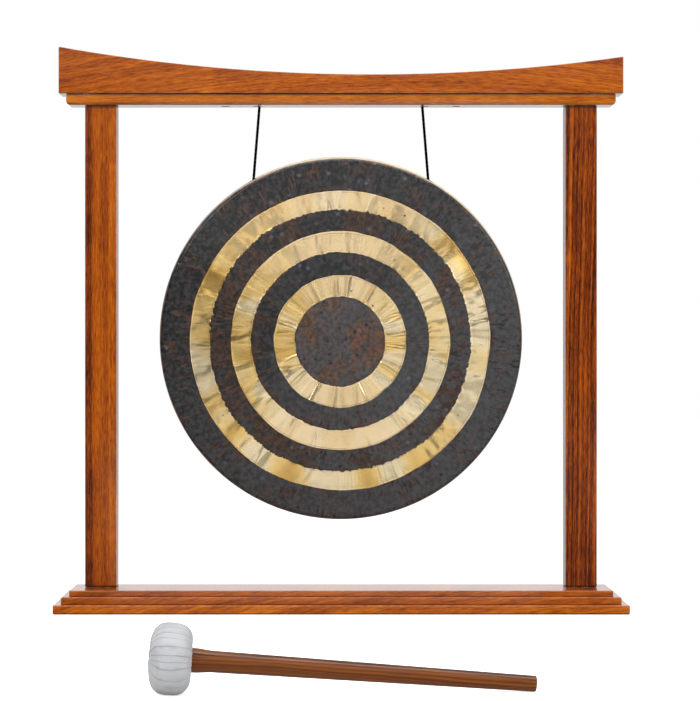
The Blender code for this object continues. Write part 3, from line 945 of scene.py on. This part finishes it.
def fire_skin(at):
    """The oxide's colour: slate and rust, mauve in the middle, with dark spots and strokes, and
    the hammer's dents with painted pale highlights in them, most of them near the top. The slate
    is painted darker to the upper left and lighter to the lower right as painted shade and light.
    Its noises are given too, for the rim and the relief."""
    mottle = grain(at.place, 110.0, 4.0, 0.55, 2.0)
    cloud = grain(at.place, 26.0, 3.0, 0.5, 5.0)
    fine = between(grain(at.place, 240.0, 4.0, 0.6, 9.0), 0.34, 0.66)
    outmost = between(at.radius, 0.149, 0.152)
    leftward = between(at.right, 0.3, -0.7)
    clean = calc("MAXIMUM", outmost, between(at.radius, 0.087, 0.083))
    scarcity = times_plus(clean, 0.15, times_plus(leftward, -0.07, 0.92))
    rusting = minus(times_plus(cloud, 0.9, mottle), scarcity)
    rust_share = between(rusting, 0.0, 0.17, 0.0, 0.85)
    # Painted shade and light: the slate darkens to the upper left and lightens to the lower right.
    shaded = times(minus(at.right, at.up), 0.23)
    shaded = plus(shaded, times_plus(fine, 0.6, 0.2))
    slate = tint(shaded, (0.004, 0.004, 0.0045, 1), (0.046, 0.046, 0.049, 1))
    brown = tint(fine, (0.010, 0.006, 0.004, 1), (0.060, 0.026, 0.011, 1))
    skin = tint(rust_share, slate, brown)
    inmost = between(at.ring_radius, 0.046, 0.042)
    mauve = tint(fine, (0.026, 0.024, 0.025, 1), (0.060, 0.056, 0.060, 1))
    ochre = tint(fine, (0.035, 0.019, 0.013, 1), (0.115, 0.055, 0.030, 1))
    stain = between(times_plus(mottle, 0.8, cloud), 0.80, 1.02)
    skin = tint(inmost, skin, tint(stain, mauve, ochre))
    strewn = between(grain(at.place, 34.0, 2.0, 0.5, 12.0), 0.36, 0.58)
    for seed, colour in ((1.0, (0.004, 0.003, 0.003, 1)), (4.0, (0.075, 0.030, 0.014, 1))):
        strokes = figure(at.polar, (52, 52, 105), 2.0, 0.5, seed)
        stroke = times(between(strokes, 0.55, 0.64), strewn)
        skin = tint(times(stroke, 0.75), skin, colour)
    spots, chosen = cells(at.place, 120.0)
    rare = between(at.radius, 0.060, 0.044, 0.90, 0.40)
    spot = times(
        between(spots.outputs["Distance"], 0.24, 0.12), calc("GREATER_THAN", chosen, rare)
    )
    skin = tint(times(spot, 0.9), skin, (0.005, 0.004, 0.004, 1))
    # Painted highlight: the hammer's dents, chosen mostly near the top, are tinted pale blue-grey
    # in their middles.
    blows, struck = cells(at.flat, 105.0)
    struck = calc("GREATER_THAN", struck, between(at.up, 0.60, 0.95, 0.90, 0.45))
    dent_and_painted_highlight = times(between(blows.outputs["Distance"], 0.34, 0.0), struck)
    skin = tint(times(dent_and_painted_highlight, 0.55), skin, (0.10, 0.10, 0.13, 1))
    return skin, mottle, fine, spot, dent_and_painted_highlight


def turned_brass(at):
    """The colour of the turned rings: beaten facets and folds, each facet painted lighter or
    darker as painted light and shade, the rings painted lighter to the right and a pale painted
    highlight in their top and bottom sectors, scratches, the lathe's fine lines, pits and a dark
    line near each outer edge. What shapes them is given too, for the relief."""
    # Painted light and shade: each facet draws its own brightness, and a painted shade ramps
    # across it from one side to the other.
    facet_place = stretched(at.polar, (3.1, 3.1, 11))
    facets, pick = cells(facet_place, 1.0, feature="SMOOTH_F1")
    facets.inputs["Smoothness"].default_value = 0.35
    across = vector_calc("SUBTRACT", facet_place, facets.outputs["Position"])
    lean = vector_calc("SUBTRACT", facets.outputs["Color"], (0.5, 0.5, 0.5))
    turned = vector_calc("DOT_PRODUCT", across, lean)
    tone = swayed(0.64, pick, 0.45)
    tone = times_plus(turned, 0.5, tone)
    # Painted light: the rings are lighter to the right.
    tone = times_plus(at.right, 0.08, tone)
    outer_ring = between(at.radius, 0.112, 0.125)
    swing = figure(at.polar, (3.4, 3.4, 0), 1.0, 0.5, 20.0)
    swing = times(minus(swing, 0.5), outer_ring)
    tone = times_plus(swing, 2.2, tone)
    patina = figure(at.polar, (5.0, 5.0, 30), 3.0, 0.55, 6.0)
    tone = swayed(tone, patina, 0.9)
    scratch_zone = between(figure(at.polar, (7, 7, 16), 1.0, 0.5, 3.0), 0.48, 0.66)
    scratches = figure(at.polar, (48, 48, 7), 2.0, 0.5, 11.0)
    scratch = times(minus(scratches, 0.5), scratch_zone)
    tone = times_plus(scratch, 1.2, tone)
    golds = toned(tone, BRASS_TONES)
    # Painted highlight: the top and bottom sectors fade to pale brass, less so on the lower part
    # of the outer ring.
    lower = times(between(at.up, -0.2, -0.8), outer_ring)
    pale = times_plus(lower, -0.35, calc("ABSOLUTE", at.up))
    pale = swayed(pale, patina, -1.0)
    brass = tint(between(pale, 0.60, 1.0, 0.0, 0.60), golds, (1.0, 0.78, 0.51, 1))
    lathe = banded(at.ring_radius, 1100.0, 3.0)
    brass = tint(between(lathe, 0.55, 0.78, 0.0, 0.25), brass, (0.52, 0.32, 0.12, 1))
    pits, pit_choice = cells(at.place, 95.0)
    pit = times(
        between(pits.outputs["Distance"], 0.13, 0.07), calc("GREATER_THAN", pit_choice, 0.92)
    )
    brass = tint(times(pit, 0.9), brass, (0.06, 0.03, 0.015, 1))
    for _, outer in RINGS:
        off_line = off(at.ring_radius, outer - RING_LINE_INSET)
        kept = between(grain(at.direction, 2.0, 2.0, 0.5, outer * 50), 0.42, 0.55)
        line = times(between(off_line, 0.00035, 0.00010), kept)
        brass = tint(times(line, 0.55), brass, (0.30, 0.17, 0.06, 1))
    return brass, turned, outer_ring, patina, scratch_zone, lathe


def gong_finish():
    finish, tree, shader = new_finish("oxide_and_bright_rings")
    at = gong_places(tree)
    bright = times(ring_share(at.ring_radius, at.direction), at.front)
    skin, mottle, fine, spot, dent_and_painted_highlight = fire_skin(at)
    brass, turned, outer_ring, patina, scratch_zone, lathe = turned_brass(at)

    # Worn rim and painted highlight: the rim is bared to pale brass where it is rubbed, and most
    # along the top and right, where the bare metal also stands in for the light caught on the rim.
    rim = between(at.radius, 0.1776, 0.1786)
    rubbed = times_plus(fine, 0.05, times(mottle, 0.18))
    wear_and_painted_light_side = times_plus(at.up, 0.30, times_plus(at.right, 0.12, rubbed))
    worn_and_painted_rim_light = times(rim, between(wear_and_painted_light_side, 0.17, 0.42))
    turn = off(at.radius, RIM_TURN)
    patchy = between(grain(at.direction, 5.0, 3.0, 0.6, 30.0), 0.40, 0.60)
    edge_line = times(between(turn, 0.0006, 0.0003), patchy)
    skin = tint(times(edge_line, 0.65), skin, (0.24, 0.12, 0.05, 1))
    metal = calc("MAXIMUM", bright, times(worn_and_painted_rim_light, 0.9))
    brass = tint(rim, brass, (0.88, 0.76, 0.57, 1))
    colour = tint(metal, skin, brass)
    skin_gloss = between(mottle, 0.3, 0.7, 0.32, 0.50)
    skin_gloss = minus(skin_gloss, between(at.radius, 0.170, 0.176, 0.0, 0.14))
    brass_gloss = between(patina, 0.3, 0.7, 0.20, 0.28)
    brass_gloss = times_plus(rim, 0.18, brass_gloss)
    gloss = mixed("FLOAT", "Float", metal, skin_gloss, brass_gloss)
    tangent = put(tree, "ShaderNodeTangent", direction_type="UV_MAP", uv_map="surface")
    fill(shader, {"Base Color": colour, "Metallic": metal, "Roughness": gloss})
    fill(shader, {"Tangent": tangent.outputs["Tangent"], "Specular IOR Level": 0.40})
    fill(shader, {"Anisotropic": 0.75, "Anisotropic Rotation": 0.25})

    folds = figure(at.polar, (6, 6, 9), 0.0, 0.5, 8.0)
    folded = times_plus(folds, 1.5, times(turned, 1.2))
    crease = figure(at.polar, (9, 9, 8), 1.0, 0.5, 16.0)
    crease = between(off(crease, 0.5), 0.03, 0.0)
    folded = times_plus(times(crease, scratch_zone), 0.06, folded)
    folded = times(folded, times_plus(outer_ring, 0.3, 1.0))
    folded = times(folded, between(at.up, 0.0, -0.6, 1.0, 1.6))
    beaten = bump(times(folded, bright), 1.0, 0.0011)
    turned_off = bump(times(lathe, bright), 0.35, 0.00003, beaten)
    pitted = times_plus(plus(times(mottle, 0.4), spot), 0.30, dent_and_painted_highlight)
    rough_skin = times(minus(1.0, bright), pitted)
    fill(shader, {"Normal": bump(rough_skin, 1.0, -0.0006, turned_off)})
    return finish


def named(tree, name):
    """A number that a mesh keeps at each point, for a geometry tree."""
    node = put(tree, "GeometryNodeInputNamedAttribute", {"Name": name}, data_type="FLOAT")
    return node.outputs["Attribute"]


def hammer_tree(finish):
    """Beats the turned sheet: long waves all over, round dimples between the rings, and the
    turned rings cut a little into the face."""
    sizes = {
        "Wave Height": 0.0011,
        "Wave Size": 26.0,
        "Pucker Height": 0.0018,
        "Pucker Count": 13.0,
        "Dimple Depth": 0.00045,
        "Dimple Size": 95.0,
        "Ring Cut": 0.0003,
    }
    tree, start, last = new_tree("hammering", sizes)
    place = put(tree, "GeometryNodeInputPosition").outputs["Position"]
    flat, radius, direction = about_axis(place)
    waves = minus(grain(flat, start.outputs["Wave Size"], 2.0, 0.5, 1.0), 0.5)
    height = times(waves, start.outputs["Wave Height"])
    lift = vector_of(Z=times(radius, 3.0))
    spokes = grain(
        vector_calc("ADD", direction, lift), start.outputs["Pucker Count"], 2.0, 0.6, 4.0
    )
    pucker = times(minus(spokes, 0.5), start.outputs["Pucker Height"])
    pucker = times(pucker, between(radius, 0.02, 0.15))
    height = plus(height, pucker)

    dimple_cells, picked = cells(flat, start.outputs["Dimple Size"])
    bowl = times(between(dimple_cells.outputs["Distance"], 0.45, 0.0), between(picked, 0.45, 0.75))
    bowl = times(bowl, between(radius, 0.148, 0.152))
    height = minus(height, times(bowl, start.outputs["Dimple Depth"]))
    height = times(height, between(radius, 0.1755, 0.166))

    front = named(tree, "front")
    ring_radius = vector_calc("LENGTH", vector_calc("SUBTRACT", flat, RING_CENTRE))
    shares = ring_share(ring_radius, direction)
    cut = times(shares, times(front, start.outputs["Ring Cut"]))
    height = minus(height, cut)
    offset = vector_of(Z=height)
    beaten = put(
        tree, "GeometryNodeSetPosition", {"Geometry": start.outputs["Geometry"], "Offset": offset}
    )
    close_tree(tree, beaten.outputs["Geometry"], finish, last)
    return tree


gong_matrix = Matrix.Translation(GONG_PLACE) @ Matrix.Rotation(
    math.radians(90) + GONG_LEAN, 4, "X"
)
rows, front_rows = gong_rows()
blank = placed("gong_blank", turned_mesh("gong_blank", rows, GONG_STEPS, front_rows))
drills = []
for side in (-1, 1):
    drill_place = (
        Matrix.Rotation(-side * RIM_HOLE_ANGLE, 4, "Z")
        @ Matrix.Translation((0, GONG_RADIUS - GONG_SHEET / 2, -RIM_HOLE_BACK))
        @ Matrix.Rotation(math.radians(90), 4, "X")
    )
    drill_shape = bmesh.new()
    bmesh.ops.create_cone(
        drill_shape,
        cap_ends=True,
        segments=24,
        radius1=RIM_HOLE_DIAMETER / 2,
        radius2=RIM_HOLE_DIAMETER / 2,
        depth=2 * GONG_SHOULDER,
        matrix=drill_place,
    )
    drill = placed("rim_drill", mesh_of("rim_drill", drill_shape))
    drilled = blank.modifiers.new("rim_hole", "BOOLEAN")
    drilled.operation = "DIFFERENCE"
    drilled.solver = "MANIFOLD"
    drilled.object = drill
    drills.append(drill)
gong = worked(blank, hammer_tree(gong_finish()), {}, "gong", "gong")
gong.data.transform(gong_matrix)
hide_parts("gong_disc")
for drill in drills:
    bpy.data.objects.remove(drill)


# The mallet
# A turned handle of darker rosewood, glued into a beech core. Grey felt goes round the core,
# and a white cotton cloth is drawn over it and gathered round the handle's foot.

MALLET_PLACE = (-0.129, -0.6534, 0.026733)
MALLET_TURN = math.radians(4.0)
MALLET_SLOPE = math.radians(4.3948)
HEAD_RADIUS = 0.0266
HEAD_HALF_WIDTH = 0.0162
HEAD_FULLNESS = 3.2
HEAD_DRAWN_DEPTH = 0.0016
HEAD_DRAWN_WIDTH = 0.009
MALLET_REACH = 0.2718
HANDLE_ROOT = 0.0092
HANDLE_NECK = 0.00805
HANDLE_NECK_LENGTH = 0.0155
HANDLE_BUTT = 0.0060
BUTT_ROUNDING = 0.0012
BUTT_INSET = 0.001
TENON_RADIUS = 0.006
TENON_END = -0.006
ROOT_START = 0.0109
CLOTH_THICKNESS = 0.0009
THREAD_SPACING = 0.00055
PLEAT_LUMPS = 0.0014
LINING_ROOM = 0.0012
FELT_DEPTH = 0.0015
CORE_RADIUS = 0.0173
CORE_END = -0.0109
HANDLE_PLAY = 0.0003
HANDLE_STEPS = 48
FELT_STEPS = 64
CLOTH_STEPS = 480

mallet_matrix = (
    Matrix.Translation(MALLET_PLACE)
    @ Matrix.Rotation(MALLET_TURN, 4, "Z")
    @ Matrix.Rotation(math.radians(90) + MALLET_SLOPE, 4, "Y")
)


def dark_handle_wood():
    finish, tree, shader = new_finish("dark_handle_wood")
    place = stored(tree, "turned_place")
    waves = figure(place, (40, 40, 7), 2.0)
    offset = vector_of(X=times(waves, 0.012))
    bent = vector_calc("ADD", vector_calc("ADD", place, offset), (0.016, 0.009, 0))
    ring = vector_calc("LENGTH", stretched(bent, (1, 1, 0)))
    streak = banded(ring, 340.0, 4.0)
    fibre = figure(place, (900, 900, 20), 3.0, 0.6)
    colour = tint(between(streak, 0.25, 0.75), (0.050, 0.012, 0.002, 1), (0.185, 0.050, 0.005, 1))
    colour = tint(between(fibre, 0.50, 0.75, 0.0, 0.6), colour, (0.045, 0.011, 0.003, 1))
    fill(shader, {"Base Color": colour})
    lacquer(shader, 0.06, 0.40)
    return finish


def add_turned(name, rows, steps, finish, node_name):
    mesh = turned_mesh(name, rows, steps)
    mesh.transform(mallet_matrix)
    mesh.materials.append(finish)
    piece = placed(name, mesh)
    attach(piece, "mallet")
    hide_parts(node_name)
    return piece


def handle_rows():
    """From the middle of the butt down to the end of the tenon."""
    rows = [(0.0, MALLET_REACH), (HANDLE_BUTT - BUTT_ROUNDING - BUTT_INSET, MALLET_REACH)]
    for step in range(5):
        angle = math.radians(90) * step / 4
        rows.append(
            (
                HANDLE_BUTT - BUTT_ROUNDING * (1 - math.sin(angle)),
                MALLET_REACH - BUTT_ROUNDING * (1 - math.cos(angle)),
            ),
        )
    neck = HEAD_HALF_WIDTH + HANDLE_NECK_LENGTH
    shaft = MALLET_REACH - BUTT_ROUNDING - neck
    for step in range(1, 31):
        share = step / 30
        rows.append(
            (HANDLE_BUTT + (HANDLE_NECK - HANDLE_BUTT) * share, neck + shaft * (1 - share))
        )
    for step in range(1, 9):
        share = step / 8
        flare = share * share * (3 - 2 * share)
        rows.append(
            (
                HANDLE_NECK + (HANDLE_ROOT - HANDLE_NECK) * flare,
                HEAD_HALF_WIDTH + HANDLE_NECK_LENGTH * (1 - share),
            ),
        )
    rows += [(HANDLE_ROOT, ROOT_START), (TENON_RADIUS, ROOT_START)]
    rows += [(TENON_RADIUS, TENON_END), (0.0, TENON_END)]
    return rows


def head_skin(depth, hole, pieces):
    """The head's outline at a depth below its surface, from the handle's hole to the far pole.
    The gathering thread draws the cloth in round the handle."""
    radius = HEAD_RADIUS - depth
    half_width = HEAD_HALF_WIDTH - depth
    power = 2 / HEAD_FULLNESS
    first = math.asin((hole / radius) ** (HEAD_FULLNESS / 2))
    rows = []
    for step in range(pieces):
        angle = first + (math.pi - first) * step / pieces
        away = radius * abs(math.sin(angle)) ** power
        height = math.copysign(half_width * abs(math.cos(angle)) ** power, math.cos(angle))
        drawn = max(0.0, 1 - (away - hole) / HEAD_DRAWN_WIDTH) if height > 0 else 0.0
        rows.append((away, height - HEAD_DRAWN_DEPTH * drawn**2))
    return rows + [(0.0, -half_width)]


def grey_wool():
    finish, tree, shader = new_finish("grey_wool_felt")
    sight = own_place(tree)
    fibres = grain(sight, 1500.0, 4.0, 0.7)
    colour = tint(fibres, (0.28, 0.28, 0.27, 1), (0.50, 0.50, 0.48, 1))
    fill(shader, {"Base Color": colour, "Roughness": 0.95, "Normal": bump(fibres, 0.6, 0.0003)})
    return finish


def white_cotton():
    finish, tree, shader = new_finish("white_cotton")
    cloth = put(tree, "ShaderNodeUVMap", uv_map="surface").outputs["UV"]
    threads = parts_of(cloth)
    warp = calc("SINE", times(threads["X"], 2 * math.pi / THREAD_SPACING))
    weft = calc("SINE", times(threads["Y"], 2 * math.pi / THREAD_SPACING))
    weave = times(warp, weft)
    place = stored(tree, "turned_place")
    soil = grain(place, 90.0, 3.0)
    colour = tint(between(soil, 0.35, 0.7), (0.395, 0.40, 0.41, 1), (0.35, 0.355, 0.365, 1))
    # Painted shade darkens the cloth along each pleat's crease.
    crease_shade = stored(tree, "painted_crease_shade", "Fac")
    colour = tint(times(crease_shade, 0.60), colour, (0.16, 0.16, 0.165, 1))
    fill(shader, {"Base Color": colour, "Normal": bump(weave, 0.25, 0.00008)})
    fill(shader, {"Roughness": 0.9, "Specular IOR Level": 0.2, "Sheen Weight": 0.1})
    return finish


def pleat_tree(finish):
    """Lays the cloth in pleats of uneven width, each lapping over the next one's edge. They run
    from the handle over the head, and deepen where the cloth is gathered at both ends."""
    sizes = {"Pleats": 25.0, "Uneven": 0.7, "Lap": 0.00065, "Wander": 0.22, "Lumps": PLEAT_LUMPS}
    tree, start, last = new_tree("pleats", sizes)
    place = put(tree, "GeometryNodeInputPosition").outputs["Position"]
    parts = parts_of(place)
    radius, direction = about_axis(place)[1:]
    angle = calc("ARCTAN2", parts["Y"], parts["X"])
    turns = times(calc("DIVIDE", angle, 2 * math.pi), start.outputs["Pleats"])
    uneven = minus(grain(direction, 2.2, 2.0, 0.5, 2.0), 0.5)
    turns = times_plus(times(uneven, 4.0), start.outputs["Uneven"], turns)
    bowed = minus(grain(place, 42.0, 2.0, 0.5, 5.0), 0.5)
    turns = times_plus(times(bowed, 4.0), start.outputs["Wander"], turns)
    across = calc("FRACT", turns)
    number = calc("FLOOR", turns)
    seat = put(
        tree, "ShaderNodeTexWhiteNoise", {"W": number}, noise_dimensions="1D"
    ).outputs["Value"]
    strength = between(seat, 0.0, 1.0, 0.55, 1.2)
    step_down = between(across, 0.90, 1.0)
    swell = times(minus(across, 0.5), minus(1.0, step_down))
    crease = between(off(across, 0.93), 0.070, 0.0)
    fade = between(grain(place, 60.0, 1.0, 0.5, 9.0), 0.32, 0.58, 0.40, 1.0)
    gather = between(radius, 0.0235, 0.010, 1.0, 1.7)
    lap = times(times(start.outputs["Lap"], gather), times(strength, fade))
    profile = minus(times(swell, 0.6), crease)
    lumps = minus(grain(place, 75.0, 1.0, 0.5, 14.0), 0.5)
    height = times_plus(lumps, start.outputs["Lumps"], times(profile, lap))
    lining = named(tree, "front")
    kept = times(height, minus(1.0, lining))
    normal = put(tree, "GeometryNodeInputNormal").outputs["Normal"]
    shift = put(tree, "ShaderNodeVectorMath", {0: normal, "Scale": kept}, operation="SCALE")
    noted = put(
        # The creases are kept for the painted shade in the cloth's colour.
        tree,
        "GeometryNodeStoreNamedAttribute",
        {
            "Geometry": start.outputs["Geometry"],
            "Name": "painted_crease_shade",
            "Value": times(crease, times(strength, fade)),
        },
        data_type="FLOAT",
        domain="POINT",
    )
    laid = put(
        tree,
        "GeometryNodeSetPosition",
        {"Geometry": noted.outputs["Geometry"], "Offset": shift.outputs["Vector"]},
    )
    close_tree(tree, laid.outputs["Geometry"], finish, last)
    return tree


add_turned(
    "mallet_handle_wood",
    handle_rows(),
    HANDLE_STEPS,
    dark_handle_wood(),
    "mallet_handle",
)

felt_skin = head_skin(FELT_DEPTH + PLEAT_LUMPS, HANDLE_ROOT + HANDLE_PLAY, 30)
felt_rows = [
    (0.0, CORE_END),
    (CORE_RADIUS, CORE_END),
    (CORE_RADIUS, ROOT_START),
    (HANDLE_ROOT + HANDLE_PLAY, ROOT_START),
]
felt = add_turned(
    "mallet_felt_pad", felt_rows + felt_skin, FELT_STEPS, grey_wool(), "mallet_felt"
)

lining = list(reversed(head_skin(CLOTH_THICKNESS + LINING_ROOM, HANDLE_ROOT + HANDLE_PLAY, 40)))
outside = head_skin(0.0, HANDLE_ROOT + HANDLE_PLAY, 60)
cloth_mesh = turned_mesh("cloth_blank", lining + outside, CLOTH_STEPS, len(lining))
cloth_blank = placed("cloth_blank", cloth_mesh)
pleats = pleat_tree(white_cotton())
cover = worked(cloth_blank, pleats, {}, "mallet_cloth_cover", "mallet")
cover.data.transform(mallet_matrix)
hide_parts("mallet_cover")


# The studio
# A white floor and a white room. A large soft lamp stands at each side and one hangs overhead,
# and three narrow ones in front put lights on the gong, the lacquer and the mallet.

FLOOR_SIZE = 14.0
CAMERA_DISTANCE = 2.6
SIGHT_LINE_OFFSET = 0.0157
PATH_LEFT_END = (-0.75, -0.30)
PATH_RIGHT_END = (1.20, 2.20)
PATH_NEAR_END = (-0.33, -0.14)
STRIP_INNER_EDGE = (0.195, 0.212)
STRIP_OUTER_EDGE = (0.285, 0.268)
MALLET_AHEAD = 0.76
DULL_REACH = (0.16, 0.22)
WHITE_IN_METAL = 0.88


def white_floor():
    """White to the camera, and in the metal a white path in front of the gong, which fades out
    quickly to the left and slowly to the right. A dark strip at each side keeps it out of the
    varnish of the posts, and it is duller round the mallet."""
    finish, tree, shader = new_finish("white_floor")
    sight = own_place(tree)
    parts = parts_of(sight)
    rays = put(tree, "ShaderNodeLightPath")
    path = times(
        between(parts["X"], *PATH_LEFT_END, 0.30, 1.0),
        between(parts["X"], *PATH_RIGHT_END, 1.0, 0.5),
    )
    near = between(parts["Y"], *PATH_NEAR_END, 1.0, 0.2)
    apart = times_plus(parts["Y"], -1 / CAMERA_DISTANCE, 1.0)
    sideways = calc("DIVIDE", calc("ABSOLUTE", plus(parts["X"], SIGHT_LINE_OFFSET)), apart)
    flag = times(between(sideways, *STRIP_INNER_EDGE), between(sideways, *STRIP_OUTER_EDGE))
    near = times(near, times_plus(flag, -0.85, 1.0))
    mat = between(calc("ABSOLUTE", plus(parts["Y"], MALLET_AHEAD)), *DULL_REACH, 0.6, 1.0)
    near = times(near, mat)
    behind = between(parts["Y"], -0.05, 0.30, 0.0, WHITE_IN_METAL)
    mirrored = calc("MAXIMUM", times(path, near), behind)
    paper = tint(rays.outputs["Is Glossy Ray"], (0.80, 0.80, 0.80, 1), (0, 0, 0, 1))
    fill(shader, {"Base Color": paper, "Roughness": 0.8, "Specular IOR Level": 0.0})
    straight = calc("MAXIMUM", rays.outputs["Is Camera Ray"], rays.outputs["Is Transmission Ray"])
    glow = times(straight, 0.68)
    glow = times_plus(rays.outputs["Is Glossy Ray"], mirrored, glow)
    fill(shader, {"Emission Color": (1, 1, 1, 1), "Emission Strength": glow})
    return finish


floor_shape = bmesh.new()
bmesh.ops.create_grid(floor_shape, x_segments=2, y_segments=2, size=FLOOR_SIZE / 2)
floor = placed("floor", mesh_of("floor", floor_shape))
floor.data.materials.append(white_floor())

# The room is white, but what the metal and the lacquer mirror of its front is darker, most of
# all near the floor and to the left.
world = bpy.data.worlds.new("white_room")
bpy.context.scene.world = world
world.use_nodes = True
room = world.node_tree
background = room.nodes["Background"]
rays = put(room, "ShaderNodeLightPath")
direction = put(room, "ShaderNodeTexCoord").outputs["Generated"]
towards = parts_of(direction)
front = between(towards["Y"], 0.10, -0.10)
gap = between(towards["Z"], 0.045, 0.13, 0.03, 0.45)
ceiling = between(towards["Z"], 0.30, 0.80, 0.0, 0.15)
left_side = between(towards["X"], -0.10, -0.45, 1.0, 0.35)
lit = times(plus(gap, ceiling), left_side)
dimmed = times(front, minus(1.0, lit))
mirrored = minus(WHITE_IN_METAL, times(dimmed, WHITE_IN_METAL))
glossy = times(rays.outputs["Is Glossy Ray"], mirrored)
clear = calc("MAXIMUM", rays.outputs["Is Camera Ray"], rays.outputs["Is Transmission Ray"])
even = times(rays.outputs["Is Diffuse Ray"], 0.42)
brightness = calc("MAXIMUM", calc("MAXIMUM", clear, glossy), even)
fill(background, {"Color": (1, 1, 1, 1), "Strength": brightness})


def softbox(name, place, aim, width, height, watts, spread=180):
    """A rectangular lamp behind white cloth. A spread below 180 degrees is that of a grid in
    front of it, which keeps its beam narrow."""
    lamp_data = bpy.data.lights.new(name, "AREA")
    lamp_data.shape = "RECTANGLE"
    lamp_data.size = width
    lamp_data.size_y = height
    lamp_data.energy = watts
    lamp_data.spread = math.radians(spread)
    lamp = placed(name, lamp_data)
    lamp.location = place
    lamp.rotation_euler = (Vector(aim) - Vector(place)).to_track_quat("-Z", "Y").to_euler()


STAND_MIDDLE = (0, 0, 0.27)
softbox("softbox_left", (-1.5, -2.1, 1.3), STAND_MIDDLE, 1.2, 1.2, 24)
softbox("softbox_right", (1.7, -1.9, 0.9), STAND_MIDDLE, 1.0, 1.4, 18)
softbox("softbox_front", (0, -1.6, 0.505), (0, 0, 0.40), 0.60, 0.19, 0.45)
softbox("strip_light", (0, -1.9, 1.55), (0, -0.4, 0.1), 1.7, 0.34, 6.0)
softbox("mallet_strip", (0.05, -1.65, 0.864), (0.05, -0.66, 0.02), 1.0, 0.06, 0.09, 12)
softbox("softbox_overhead", (0, -0.5, 1.9), STAND_MIDDLE, 2.0, 0.9, 30)

bpy.context.scene.view_settings.view_transform = "Standard"
